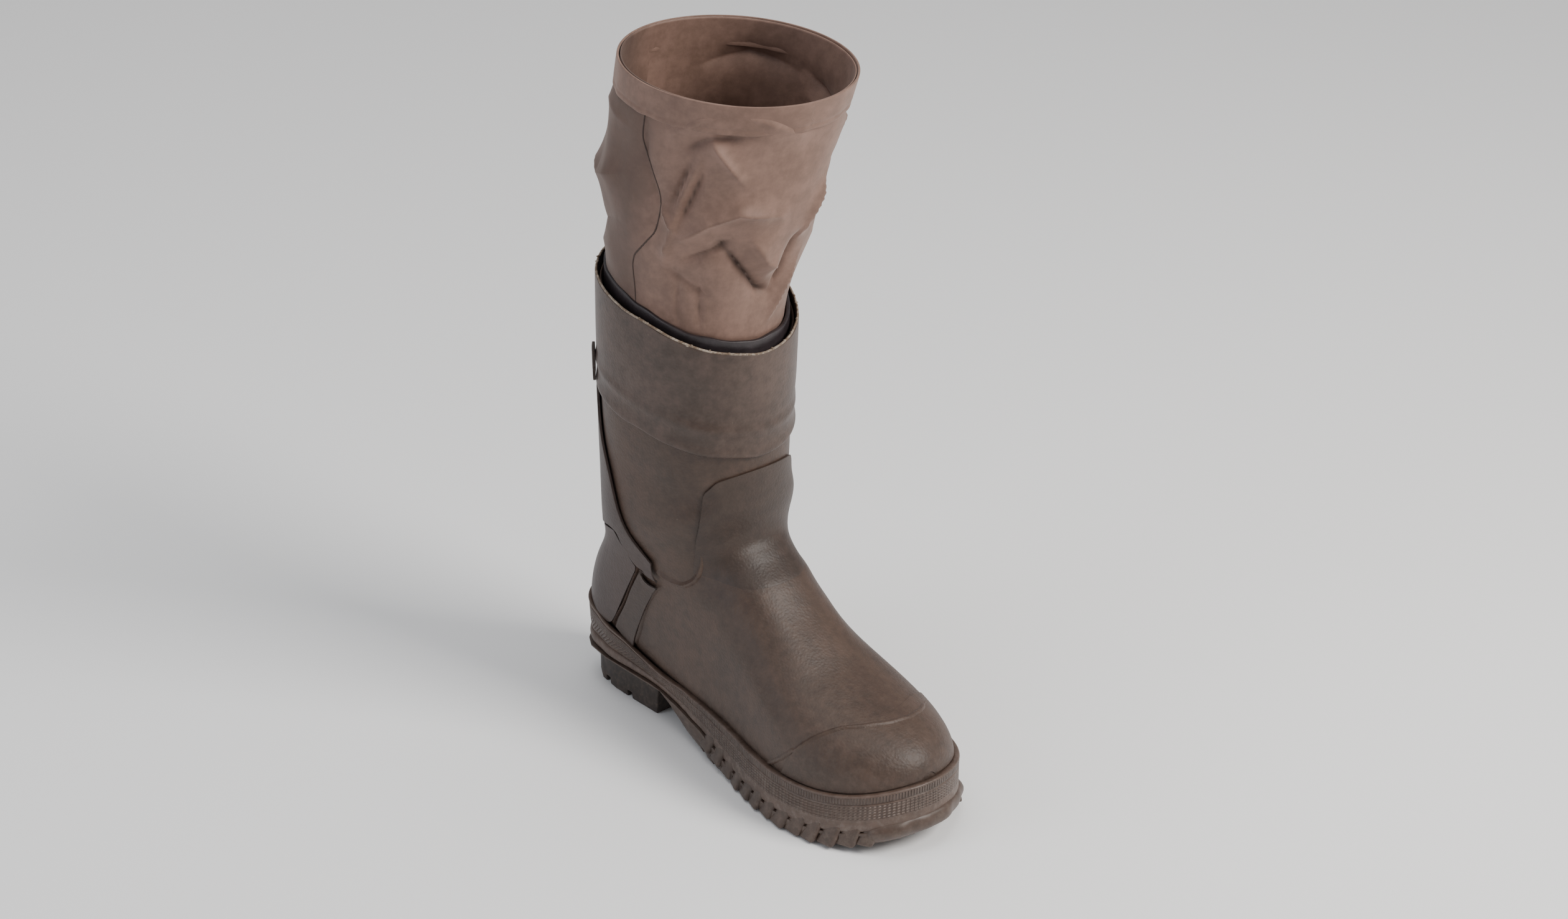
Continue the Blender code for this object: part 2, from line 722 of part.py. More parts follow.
def make_heel():
    breast_y = HEEL_BACK_Y - HEEL_BREAST * FOOT_LENGTH
    ring = grow(PLAN, FOXING_THICKNESS - HEEL_INSET)
    half = [p for p in ring[: SOLE_RING // 2] if p.y > breast_y + 0.003]
    other = [p for p in ring[SOLE_RING // 2:] if p.y > breast_y + 0.003]
    outline = other + half
    first = Vector((outline[0].x, breast_y, 0))
    last = Vector((outline[-1].x, breast_y, 0))
    outline = [first] + outline + [last]
    centre = Vector((0.0, 0.5 * (breast_y + HEEL_BACK_Y), 0.0))
    bm = bmesh.new()
    rows = []
    for level, size in ((HEEL_BLOCK_HEIGHT, 1.0), (HEEL_BEVEL_HEIGHT, 0.975), (0.0, 0.95)):
        row = [centre + (p - centre) * size for p in outline]
        rows.append([Vector((p.x, p.y, level)) for p in row])
    made = add_grid(bm, rows, True)
    bm.faces.new(made[0])
    bm.faces.new(made[-1])
    heel = object_from("heel", bm, DARK_RUBBER)
    slots = bmesh.new()
    for k in range(2):
        y = centre.y + (k - 0.5) * 0.024
        add_box(slots, (0.0, y, 0.0), (BALL_WIDTH, LUG_SLOT, 0.010), 0.0)
    cutter = object_from("heel_slots", slots, DARK_RUBBER, CUTTERS)
    cutter.hide_render = True
    cutter.display_type = "WIRE"
    cut = heel.modifiers.new("slots", "BOOLEAN")
    cut.operation = "DIFFERENCE"
    cut.object = cutter
    return heel


def make_insole():
    inside = level_ring(-WALL - 3 * GAP, lambda y: footbed(y) + WALL + 0.5 * INSOLE_THICKNESS, SOLE_RING)
    bm = bmesh.new()
    rings = add_grid(
        bm,
        [
            at_height(grow(inside, -0.0020), lambda y: footbed(y) + WALL + 4 * GAP + INSOLE_THICKNESS),
            at_height(grow(inside, -0.0068), lambda y: footbed(y) + WALL + 4 * GAP),
        ],
        True,
    )
    ladder(bm, rings[0])
    ladder(bm, rings[1])
    return object_from("insole", bm, LINING)


def make_cuff():
    shares = ring_shares(AROUND)
    rows = []
    for k in range(5):
        row = []
        for v in shares:
            low = cuff_low(v)
            row.append((low + (collar_at(v) - low) * k / 4, v))
        rows.append(row)
    return layer("cuff", rows, GAP, CUFF_THICKNESS, BROWN_RUBBER, wrap=True)


def make_liner():
    shares = ring_shares(AROUND)
    rows = [[(drop_from_collar(v, LINER_DEPTH), v) for v in shares]]
    rows.append([(drop_from_collar(v, LINER_DEPTH * 0.4), v) for v in shares])
    rows.append([(rise_from_collar(v, LINER_RISE), v) for v in shares])
    outer = -WALL - 2 * GAP
    return layer("liner", rows, outer - LINER_THICKNESS, outer, BLACK_BAND, wrap=True)


def table_value(x, table, column):
    return float(np.interp(x, [row[0] for row in table], [row[column] for row in table]))


def round_place(turn, side):
    # way round the slice from the back: side 1 is the outer side of the foot
    return turn if side > 0 else (1 - turn) % 1.0


def s_at_height(v, height_of, low, high, clear):
    # lowest slice reached from high, going down, before the point at v sinks to the given height
    def over(s):
        x, y, z = skin_point(s, v)
        return z > height_of(y) + clear

    step = 0.25
    while high - step > low and over(high - step):
        high -= step
    for _ in range(16):
        step *= 0.5
        if high - step > low and over(high - step):
            high -= step
    return high


def cuff_low(v):
    front = 0.5 - 0.5 * math.cos(2 * math.pi * v)
    return drop_from_collar(v, CUFF_HEIGHT + CUFF_DIP * front ** 2)


def make_back_stay():
    turns = [0.0, 0.03125, 0.0625, 0.09375, 0.110] + [row[0] for row in STAY_EDGES if row[0] > 0.115]
    columns = [-turn for turn in turns[:0:-1]] + turns
    rows = []
    for up in spaced(0.0, 1.0, 5):
        row = []
        for turn in columns:
            v = turn % 1.0
            low = COLLAR - table_value(abs(turn), STAY_EDGES, 1)
            high = min(COLLAR - table_value(abs(turn), STAY_EDGES, 2), cuff_low(v) - 0.015)
            row.append((low + (high - low) * up, v))
        rows.append(row)
    return layer("back_stay", rows, LAYER_GAP + GAP, STRAP_THICKNESS, BROWN_RUBBER)


def pressed(values, low, high):
    # the values held between two ends, with thin slivers left beside the ends
    count = len(values)
    sliver = 0.03 * (high - low)
    middle = [
        min(max(value, low + (k + 1) * sliver), high - (count - k) * sliver) for k, value in enumerate(values)
    ]
    return [low] + middle + [high]


def make_heel_counter():
    # its rows are the upper's own slices, pressed together where the piece ends
    crossing = line_place(line_start(0), 0)[0]
    turns = [0.0, 0.03125, 0.0625, 0.09375, 0.125, 0.137, 0.15625, 0.1875, 0.21875, 0.240, 0.255]
    turns = sorted(turns + [crossing])
    columns = [-t for t in turns[:0:-1]] + turns
    slices = [s for s in UPPER_SLICES if 13.5 < s < 19.0]
    edges = []
    for turn in columns:
        v = turn % 1.0
        size = abs(turn)
        high = COLLAR - table_value(size, STAY_EDGES, 1) - 0.12
        low = s_at_height(v, foxing_top, 10.0, high, EDGE_CLEAR)
        edges.append((max(low, COLLAR - table_value(size, SIDE_LINES, 1)), high))
    columns_of_s = [pressed(slices, low, high) for low, high in edges]
    rows = []
    for i in range(len(slices) + 2):
        rows.append([(column[i], turn % 1.0) for column, turn in zip(columns_of_s, columns)])
    return layer("heel_counter", rows, LAYER_GAP + GAP, LAYER_GAP + GAP + CAP_THICKNESS, BROWN_RUBBER)


def line_place(along, turn_column):
    # a point on one of the two raised lines, 0 at the sole and 1 under the strap
    steps = [k / (len(SIDE_LINES) - 1) for k in range(len(SIDE_LINES))]
    turn = float(np.interp(along, steps, [row[turn_column] for row in SIDE_LINES]))
    down = float(np.interp(along, steps, [row[turn_column + 1] for row in SIDE_LINES]))
    return turn, COLLAR - down


def line_start(turn_column):
    # where the raised line comes out of the foxing
    low = 0.0
    high = 1.0
    for _ in range(24):
        middle = 0.5 * (low + high)
        turn, s = line_place(middle, turn_column)
        x, y, z = skin_point(s, turn)
        if z < foxing_top(y) + EDGE_CLEAR:
            low = middle
        else:
            high = middle
    return high


def make_side_strip(name, side):
    start_1 = line_start(0)
    start_2 = line_start(2)
    rows = []
    for up in spaced(0.0, 0.965, 8):
        turn_1, first = line_place(start_1 + (1 - start_1) * up, 0)
        turn_2, second = line_place(start_2 + (1 - start_2) * up, 2)
        row = []
        for across in spaced(0.0, 1.0, 6):
            turn = turn_1 + 0.008 + (turn_2 - turn_1 - 0.008) * across
            s = first - 0.14 + (second - first + 0.14) * across
            row.append((s, round_place(turn, side)))
        rows.append(row)
    return layer(name, rows, LAYER_GAP, OVERLAY + LAYER_GAP, DARK_RUBBER)


def make_toe_cap():
    rows = []
    columns = spaced(-1.0, 1.0, 17)
    front = []
    for c in columns:
        v = 0.5 + 0.20 * c
        front.append((s_at_height(v, foxing_top, 0.0, 3.0, EDGE_CLEAR), v))
    rows.append(front)
    for up in spaced(0.1, 1.0, 9):
        row = []
        for c in columns:
            reach = 0.28 * abs(c)
            s = 0.35 + (table_value(reach, CAP_EDGE, 1) - 0.35) * up
            side = -1 if c > 0 else 1
            limit = abs(0.5 - v_at_height(s, side, foxing_top, EDGE_CLEAR))
            s = 0.35 + (table_value(limit * abs(c), CAP_EDGE, 1) - 0.35) * up
            limit = abs(0.5 - v_at_height(s, side, foxing_top, EDGE_CLEAR))
            row.append((s, 0.5 + limit * c))
        rows.append(row)
    return layer("toe_cap", rows, LAYER_GAP, LAYER_GAP + CAP_THICKNESS, BROWN_RUBBER)


def make_shin_panel():
    # its inner rows and columns are the upper's own, so that the two faceted forms stay apart
    turns = [k / AROUND for k in range(-5, 6)]
    low_s, high_s = COLLAR - PANEL_SIDES[-1][0], COLLAR - PANEL_SIDES[0][0]
    widest = max(half for _, half in PANEL_SIDES)
    slices = [s for s in UPPER_SLICES if low_s + 0.2 < s < high_s - 0.2]
    count = len(slices) + 2
    rows = []
    for i in range(count):
        row = []
        for j in range(len(turns) + 2):
            turn = ([-1.0] + [t / widest for t in turns] + [1.0])[j]
            low = low_s + 1.5 * turn ** 2
            high = high_s - 0.3 * abs(turn) ** 5
            s = pressed(slices, low, high)[i]
            half = table_value(COLLAR - s, PANEL_SIDES, 1)
            row.append((s, 0.5 + pressed(turns, -half, half)[j]))
        rows.append(row)
    return layer("shin_panel", rows, LAYER_GAP, LAYER_GAP + OVERLAY, BROWN_RUBBER)


def make_tab():
    centre = 0.878
    half = 0.5 * TAB_WIDTH / (math.pi * 0.5 * (SHAFT_DEPTH + SHAFT_WIDTH))
    rows = []
    for up in (0.06, 0.5, 1.0):
        row = []
        for c in (-1.0, -0.4, 0.4, 1.0):
            v = centre + half * c
            low = cuff_low(v)
            high = drop_from_collar(v, CUFF_HEIGHT - TAB_HEIGHT)
            row.append((low + (high - low) * up, v))
        rows.append(row)
    inner = CUFF_THICKNESS + LAYER_GAP
    return layer("cuff_tab", rows, inner, inner + TAB_THICKNESS, DARK_RUBBER)


def leg_point(h, turn, offset=0.0):
    # turn runs round the leg as v does round the shaft
    h_shift, h_aside, deep, wide = (table_value(h, LEG_SECTIONS, k) for k in (1, 2, 3, 4))
    angle = 2 * math.pi * turn
    centre_y = SHAFT_FRONT_Y + 0.5 * SHAFT_DEPTH - LEG_LEAN * h_shift
    centre_x = LEG_ASIDE * h_aside
    taken = WALL + 2 * GAP + LINER_THICKNESS + LEG_CLEARANCE
    inside_deep = 0.5 * SHAFT_DEPTH - taken
    inside_wide = 0.5 * SHAFT_WIDTH - taken
    half_deep = inside_deep + deep * (0.5 * LEG_TOP_DEPTH - inside_deep) + offset
    half_wide = inside_wide + wide * (0.5 * LEG_TOP_WIDTH - inside_wide) + offset
    return Vector((
        centre_x + half_wide * math.sin(angle),
        centre_y + half_deep * math.cos(angle),
        LEG_BOTTOM_HEIGHT + h * (LEG_TOP_HEIGHT - LEG_BOTTOM_HEIGHT),
    ))


def make_leg():
    bm = bmesh.new()
    shares = ring_shares(AROUND)
    levels = spaced(0.0, 1.0, 8)
    add_grid(bm, [[leg_point(h, turn) for turn in shares] for h in levels], True)
    leg = object_from("leg", bm, LEG_FABRIC)
    wall = leg.modifiers.new("wall", "SOLIDIFY")
    wall.thickness = LEG_WALL
    wall.offset = -1.0
    return leg


def make_hem():
    bm = bmesh.new()
    shares = ring_shares(AROUND)
    start = 1 - HEM_HEIGHT / (LEG_TOP_HEIGHT - LEG_BOTTOM_HEIGHT)
    levels = spaced(start, 1.0, 3)
    add_grid(bm, [[leg_point(h, turn, GAP + HEM_THICKNESS) for turn in shares] for h in levels], True)
    hem = object_from("leg_hem", bm, LEG_FABRIC)
    wall = hem.modifiers.new("wall", "SOLIDIFY")
    wall.thickness = HEM_THICKNESS
    wall.offset = -1.0
    return hem


make_upper()
make_foxing()
OUTSOLE = make_outsole()
cut_lugs(OUTSOLE)
make_heel()
make_insole()
make_cuff()
make_liner()
make_back_stay()
make_heel_counter()
make_side_strip("side_strip_inner", -1)
make_side_strip("side_strip_outer", 1)
make_toe_cap()
make_shin_panel()
make_tab()
make_leg()
make_hem()
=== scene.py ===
# Bootfoot wader, left foot: a brown rubber boot with the lower end of its fabric leg, on a pale floor.
# Metres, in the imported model's frame: Z up, the toe points to -Y, the foot's inner side is -X.

import math

import bmesh
import bpy
import numpy as np
from mathutils import Matrix, Vector
from mathutils.bvhtree import BVHTree


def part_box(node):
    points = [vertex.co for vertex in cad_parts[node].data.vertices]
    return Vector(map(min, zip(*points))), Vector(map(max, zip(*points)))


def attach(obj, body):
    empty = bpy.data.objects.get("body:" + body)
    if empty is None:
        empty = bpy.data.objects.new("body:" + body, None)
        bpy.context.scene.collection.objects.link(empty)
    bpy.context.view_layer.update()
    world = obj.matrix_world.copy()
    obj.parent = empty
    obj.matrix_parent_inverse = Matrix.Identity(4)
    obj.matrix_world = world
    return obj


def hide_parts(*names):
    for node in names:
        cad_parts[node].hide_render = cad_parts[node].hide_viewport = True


mm = 0.001

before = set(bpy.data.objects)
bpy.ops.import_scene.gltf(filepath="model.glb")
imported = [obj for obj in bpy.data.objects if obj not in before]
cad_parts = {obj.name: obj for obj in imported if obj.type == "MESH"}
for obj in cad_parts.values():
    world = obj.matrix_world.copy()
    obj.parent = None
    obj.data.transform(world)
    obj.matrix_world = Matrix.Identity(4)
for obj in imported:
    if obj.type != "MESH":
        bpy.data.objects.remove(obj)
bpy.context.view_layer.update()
print("frame loaded,", len(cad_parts), "nodes")


# Node helpers. A material is built with short calls that return output sockets.

def startMaterial(name):
    made = bpy.data.materials.new(name)
    made.use_nodes = True
    tree = made.node_tree
    shader = tree.nodes["Principled BSDF"]
    return made, tree, shader


def setInputs(tree, made, inputs):
    for key, value in inputs.items():
        if isinstance(value, bpy.types.NodeSocket):
            tree.links.new(value, made.inputs[key])
        else:
            made.inputs[key].default_value = value
    return made


def node(tree, kind, inputs=None, **settings):
    made = tree.nodes.new(kind)
    for key, value in settings.items():
        setattr(made, key, value)
    return setInputs(tree, made, inputs or {})


def calc(tree, operation, a, b=0.0, c=0.0):
    return node(tree, "ShaderNodeMath", {0: a, 1: b, 2: c}, operation=operation).outputs[0]


def blend(tree, share, first, second):
    made = node(tree, "ShaderNodeMix", {"Factor": share}, data_type="RGBA")
    for socket, value in ((made.inputs[6], first), (made.inputs[7], second)):
        if isinstance(value, bpy.types.NodeSocket):
            tree.links.new(value, socket)
        else:
            socket.default_value = (*value, 1.0)
    return made.outputs[2]


def stepUp(tree, value, low, high):
    return node(
        tree, "ShaderNodeMapRange", {"Value": value, "From Min": low, "From Max": high},
        interpolation_type="SMOOTHSTEP",
    ).outputs[0]


def objectPlace(tree):
    return node(tree, "ShaderNodeTexCoord").outputs["Object"]


def noise(tree, place, scale, detail=3.0, roughness=0.5):
    return node(
        tree, "ShaderNodeTexNoise",
        {"Vector": place, "Scale": scale, "Detail": detail, "Roughness": roughness},
    ).outputs["Fac"]


def startGroup(name, inputs, outputs):
    group = bpy.data.node_groups.new(name, "ShaderNodeTree")
    for label, kind, value in inputs:
        socket = group.interface.new_socket(name=label, in_out="INPUT", socket_type=kind)
        if value is not None:
            socket.default_value = value
    for label, kind in outputs:
        group.interface.new_socket(name=label, in_out="OUTPUT", socket_type=kind)
    return group, group.nodes.new("NodeGroupInput"), group.nodes.new("NodeGroupOutput")


def makeGrainGroup():
    # fine leather-like grain pressed into the rubber: pebbles, their valleys and a slow swell
    group, given, out = startGroup(
        "pressedGrain",
        [("Place", "NodeSocketVector", None), ("Pebble Scale", "NodeSocketFloat", 620.0)],
        [("Height", "NodeSocketFloat")],
    )
    warp = noise(group, given.outputs["Place"], 90.0, 2.0)
    pebbles = node(
        group, "ShaderNodeTexVoronoi",
        {"Vector": given.outputs["Place"], "Scale": given.outputs["Pebble Scale"], "Randomness": 1.0},
        feature="SMOOTH_F1",
    ).outputs["Distance"]
    valleys = calc(group, "SUBTRACT", 1.0, pebbles)
    fine = noise(group, given.outputs["Place"], 1500.0, 2.0)
    height = calc(group, "MULTIPLY_ADD", valleys, 0.55, calc(group, "MULTIPLY", fine, 0.25))
    height = calc(group, "MULTIPLY_ADD", warp, 0.35, height)
    group.links.new(height, out.inputs["Height"])
    return group


def makeToneGroup():
    # slow change of colour over a surface, with small darker mottles
    group, given, out = startGroup(
        "rubberTone",
        [
            ("Place", "NodeSocketVector", None),
            ("Light", "NodeSocketColor", (0.13, 0.09, 0.07, 1.0)),
            ("Dark", "NodeSocketColor", (0.06, 0.04, 0.03, 1.0)),
        ],
        [("Color", "NodeSocketColor"), ("Cloud", "NodeSocketFloat")],
    )
    cloud = noise(group, given.outputs["Place"], 16.0, 4.0, 0.6)
    mottle = noise(group, given.outputs["Place"], 160.0, 3.0, 0.6)
    share = calc(group, "MULTIPLY_ADD", mottle, 0.45, calc(group, "MULTIPLY", cloud, 0.75))
    share = stepUp(group, share, 0.38, 0.82)
    colour = node(group, "ShaderNodeMix", {"Factor": share}, data_type="RGBA")
    group.links.new(given.outputs["Dark"], colour.inputs[6])
    group.links.new(given.outputs["Light"], colour.inputs[7])
    group.links.new(colour.outputs[2], out.inputs["Color"])
    group.links.new(cloud, out.inputs["Cloud"])
    return group


def makeDustGroup():
    # pale dust that gathers low on the boot and thins out upwards, broken up by noise
    group, given, out = startGroup(
        "settledDust",
        [("Place", "NodeSocketVector", None), ("Top", "NodeSocketFloat", 0.07)],
        [("Mask", "NodeSocketFloat")],
    )
    height = node(group, "ShaderNodeSeparateXYZ", {0: given.outputs["Place"]}).outputs["Z"]
    low = calc(group, "SUBTRACT", 1.0, calc(group, "DIVIDE", height, given.outputs["Top"]))
    low = node(group, "ShaderNodeClamp", {0: low}).outputs[0]
    speck = stepUp(group, noise(group, given.outputs["Place"], 210.0, 4.0, 0.7), 0.42, 0.72)
    spots = node(
        group, "ShaderNodeTexVoronoi", {"Vector": given.outputs["Place"], "Scale": 105.0}, feature="F1",
    ).outputs["Distance"]
    rare = stepUp(group, noise(group, given.outputs["Place"], 30.0, 1.0), 0.56, 0.60)
    spots = calc(group, "MULTIPLY", stepUp(group, calc(group, "SUBTRACT", 0.075, spots), 0.0, 0.03), rare)
    mask = calc(group, "MAXIMUM", calc(group, "MULTIPLY", low, speck), spots)
    group.links.new(mask, out.inputs["Mask"])
    return group


grainGroup = makeGrainGroup()
toneGroup = makeToneGroup()
dustGroup = makeDustGroup()


def bumpFrom(tree, height, strength, depth):
    # depth in mm
    made = node(tree, "ShaderNodeBump", {"Height": height, "Strength": strength, "Distance": depth * mm})
    return made.outputs["Normal"]


def useGroup(tree, group, inputs):
    made = tree.nodes.new("ShaderNodeGroup")
    made.node_tree = group
    return setInputs(tree, made, inputs)


def rubberTone(tree, place, look):
    light, dark = (*look["light"], 1), (*look["dark"], 1)
    return useGroup(tree, toneGroup, {"Place": place, "Light": light, "Dark": dark})


def rubberMaterial(name, look):
    made, tree, shader = startMaterial(name)
    place = objectPlace(tree)
    tone = rubberTone(tree, place, look)
    dust = useGroup(tree, dustGroup, {"Place": place, "Top": look["dustTop"]}).outputs["Mask"]
    dusty = calc(tree, "MULTIPLY", dust, look["dust"])
    colour = blend(tree, dusty, tone.outputs["Color"], look["dustColour"])
    rough = calc(tree, "MULTIPLY_ADD", tone.outputs["Cloud"], look["roughSpread"], look["roughness"])
    grain = useGroup(tree, grainGroup, {"Place": place, "Pebble Scale": look["pebbleScale"]})
    setInputs(tree, shader, {
        "Base Color": colour, "Roughness": calc(tree, "MULTIPLY_ADD", dust, 0.18, rough),
        "Normal": bumpFrom(tree, grain.outputs["Height"], look["grain"], 0.5), "Coat Weight": look["coat"],
        "Coat Roughness": 0.42, "Specular IOR Level": look["specular"], "Sheen Weight": look["sheen"],
        "Sheen Tint": (0.75, 0.74, 0.85, 1.0), "Sheen Roughness": 0.5,
    })
    return made


brownLook = {
    "light": (0.075, 0.044, 0.030), "dark": (0.037, 0.0215, 0.0145), "dustColour": (0.17, 0.13, 0.105),
    "dust": 0.30, "dustTop": 0.10, "roughness": 0.46, "roughSpread": 0.14, "pebbleScale": 620.0,
    "grain": 0.75, "coat": 0.05, "specular": 0.45, "sheen": 0.03,
}


def browned(name, **changes):
    return rubberMaterial(name, {**brownLook, **changes})


brownRubber = browned("brownRubber")
cuffRubber = browned("cuffRubber", light=(0.088, 0.056, 0.043), grain=0.60, roughness=0.40)
panelRubber = browned("panelRubber", light=(0.054, 0.033, 0.0235), dark=(0.030, 0.018, 0.0125))
stayRubber = browned("stayRubber", light=(0.060, 0.040, 0.034), dark=(0.036, 0.023, 0.019))
stripRubber = browned("stripRubber", light=(0.054, 0.034, 0.026), dark=(0.032, 0.020, 0.015))
soleRubber = browned(
    "soleRubber", light=(0.084, 0.052, 0.038), dark=(0.042, 0.026, 0.018), dust=0.50, dustTop=0.05,
    roughness=0.38, grain=0.22, pebbleScale=420.0, coat=0.03,
)
# painted shade: the heel block is the tread's rubber, coloured darker to stand for the shade that falls on it
shadedHeelRubber = browned(
    "shadedHeelRubber", light=(0.036, 0.024, 0.018), dark=(0.018, 0.012, 0.009), dust=0.4, dustTop=0.04,
    roughness=0.50, grain=0.20, coat=0.03,
)
bandRubber = browned(
    "bandRubber", light=(0.036, 0.027, 0.030), dark=(0.016, 0.012, 0.013), dust=0.0, roughness=0.34,
    grain=0.35, coat=0.12, sheen=0.0,
)


def makeFeltMaterial(name, light, dark):
    made, tree, shader = startMaterial(name)
    place = objectPlace(tree)
    fibre = noise(tree, place, 900.0, 4.0, 0.7)
    patch = noise(tree, place, 40.0, 3.0)
    share = calc(tree, "MULTIPLY_ADD", patch, 0.5, calc(tree, "MULTIPLY", fibre, 0.5))
    colour = blend(tree, share, dark, light)
    bump = bumpFrom(tree, fibre, 0.6, 0.5)
    setInputs(tree, shader, {"Base Color": colour, "Normal": bump, "Roughness": 0.95, "Sheen Weight": 0.3})
    return made


feltLining = makeFeltMaterial("feltLining", (0.060, 0.055, 0.052), (0.026, 0.024, 0.023))


def makeClothMaterial(name, light, dark):
    # plain weave on the cloth's own map, in metres, with fine crinkles over it, and painted shade in the
    # folds' troughs and behind the inner seam
    made, tree, shader = startMaterial(name)
    lie = node(tree, "ShaderNodeUVMap", uv_map="cloth").outputs["UV"]
    parts = node(tree, "ShaderNodeSeparateXYZ", {0: lie})
    thread = 2 * math.pi / (0.75 * mm)
    warp = calc(tree, "SINE", calc(tree, "MULTIPLY", parts.outputs["X"], thread))
    weft = calc(tree, "SINE", calc(tree, "MULTIPLY", parts.outputs["Y"], thread))
    weave = calc(tree, "MULTIPLY", warp, weft)
    crinkle = noise(tree, lie, 130.0, 5.0, 0.62)
    cloud = noise(tree, lie, 22.0, 3.0)
    mixed = calc(tree, "MULTIPLY_ADD", crinkle, 0.5, calc(tree, "MULTIPLY", cloud, 0.5))
    share = stepUp(tree, mixed, 0.36, 0.66)
    colour = blend(tree, share, dark, light)
    # painted shade: the fold attribute darkens the cloth in the folds' troughs and behind the inner seam
    fold = node(tree, "ShaderNodeAttribute", attribute_name="fold").outputs["Fac"]
    colour = blend(tree, calc(tree, "MULTIPLY", fold, 0.62), colour, tuple(0.3 * c for c in dark))
    height = calc(tree, "MULTIPLY_ADD", weave, 0.05, crinkle)
    setInputs(tree, shader, {
        "Base Color": colour, "Normal": bumpFrom(tree, height, 0.35, 0.7),
        "Roughness": calc(tree, "MULTIPLY_ADD", crinkle, 0.15, 0.60), "Sheen Weight": 0.22,
        "Sheen Roughness": 0.4, "Sheen Tint": (0.95, 0.82, 0.76, 1.0),
    })
    return made


def makeThreadMaterial():
    made, tree, shader = startMaterial("seamThread")
    twist = noise(tree, objectPlace(tree), 700.0, 2.0)
    colour = blend(tree, twist, (0.030, 0.018, 0.014), (0.070, 0.042, 0.032))
    setInputs(tree, shader, {"Base Color": colour, "Roughness": 0.8})
    return made


seamThread = makeThreadMaterial()
legCloth = makeClothMaterial("legCloth", (0.222, 0.132, 0.100), (0.148, 0.085, 0.062))


def makeBandMaterial(name, look):
    # the ribbed band round the sole: its map runs along the band in metres and up it in shares
    made, tree, shader = startMaterial(name)
    place = objectPlace(tree)
    lie, zone = (
        node(tree, "ShaderNodeSeparateXYZ", {0: node(tree, "ShaderNodeUVMap", uv_map=name).outputs["UV"]})
        for name in ("band", "zone")
    )
    along, up = lie.outputs["X"], lie.outputs["Y"]
    heelShare, share = zone.outputs["X"], zone.outputs["Y"]

    def wave(value, pitch):
        return calc(tree, "SINE", calc(tree, "MULTIPLY", value, 2 * math.pi / pitch))

    def between(low, high):
        edge = 0.012
        rise = stepUp(tree, share, low - edge, low + edge)
        fall = stepUp(tree, share, high - edge, high + edge)
        return calc(tree, "SUBTRACT", rise, fall)

    diamonds = calc(
        tree, "MULTIPLY",
        wave(calc(tree, "MULTIPLY_ADD", up, 1.5, along), look["diamondPitch"]),
        wave(calc(tree, "MULTIPLY_ADD", up, -1.5, along), look["diamondPitch"]),
    )
    ribs = wave(along, look["ribPitch"])
    middle = calc(tree, "ABSOLUTE", calc(tree, "SUBTRACT", share, 0.62))
    chevron = wave(calc(tree, "MULTIPLY_ADD", middle, 0.030, along), look["chevronPitch"])
    atToe = stepUp(tree, calc(tree, "SUBTRACT", 1.0, heelShare), 0.35, 0.75)
    atHeel = stepUp(tree, heelShare, 0.35, 0.75)
    toeHeight = calc(
        tree, "ADD",
        calc(tree, "MULTIPLY", diamonds, between(0.36, 0.74)),
        calc(tree, "MULTIPLY", ribs, between(0.81, 0.97)),
    )
    heelHeight = calc(tree, "MULTIPLY", chevron, between(0.40, 0.86))
    pattern = calc(tree, "MULTIPLY_ADD", toeHeight, atToe, calc(tree, "MULTIPLY", heelHeight, atHeel))
    tone = rubberTone(tree, place, look)
    dust = useGroup(tree, dustGroup, {"Place": place, "Top": 0.07}).outputs["Mask"]
    crest = stepUp(tree, pattern, 0.1, 0.9)
    colour = blend(tree, calc(tree, "MULTIPLY", crest, 0.35), tone.outputs["Color"], look["crest"])
    colour = blend(tree, calc(tree, "MULTIPLY", dust, 0.45), colour, (0.21, 0.17, 0.145))
    grain = useGroup(tree, grainGroup, {"Place": place, "Pebble Scale": 700.0}).outputs["Height"]
    height = calc(tree, "MULTIPLY_ADD", pattern, 0.45, calc(tree, "MULTIPLY", grain, 0.16))
    bump = bumpFrom(tree, height, 1.0, 1.7)
    setInputs(tree, shader, {"Base Color": colour, "Normal": bump, "Roughness": 0.50, "Coat Weight": 0.05})
    return made


bandLook = {
    "diamondPitch": 6.0 * mm, "ribPitch": 2.0 * mm, "chevronPitch": 3.2 * mm,
    "light": (0.112, 0.071, 0.053), "dark": (0.060, 0.037, 0.027), "crest": (0.185, 0.132, 0.105),
}
bandPattern = makeBandMaterial("bandPattern", bandLook)


def makeTanMaterial():
    # raw tan edge of the folded rubber, with dried glue
    made, tree, shader = startMaterial("tanEdge")
    place = objectPlace(tree)
    share = stepUp(tree, noise(tree, place, 260.0, 4.0, 0.7), 0.40, 0.66)
    colour = blend(tree, share, (0.14, 0.095, 0.062), (0.36, 0.30, 0.24))
    bump = bumpFrom(tree, share, 0.5, 0.4)
    setInputs(tree, shader, {"Base Color": colour, "Normal": bump, "Roughness": 0.7})
    return made


tanEdge = makeTanMaterial()
print("materials made")


# Mesh helpers

def nodeCopy(name):
    # a CAD node's loose triangles, merged and joined back to quads
    bm = bmesh.new()
    bm.from_mesh(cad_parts[name].data)
    bmesh.ops.remove_doubles(bm, verts=bm.verts, dist=0.01 * mm)
    bmesh.ops.join_triangles(bm, faces=bm.faces, angle_face_threshold=0.6, angle_shape_threshold=1.2)
    return bm


def nodeTree(name):
    bm = nodeCopy(name)
    tree = BVHTree.FromBMesh(bm)
    bm.free()
    return tree


def finishPiece(bm, name, material, replaced=(), sharp=40):
    mesh = bpy.data.meshes.new(name)
    bm.to_mesh(mesh)
    bm.free()
    piece = bpy.data.objects.new(name, mesh)
    bpy.context.scene.collection.objects.link(piece)
    mesh.materials.append(material)
    mesh.shade_smooth()
    if sharp:
        mesh.set_sharp_from_angle(angle=math.radians(sharp))
    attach(piece, "root")
    if replaced:
        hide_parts(*replaced)
    return piece


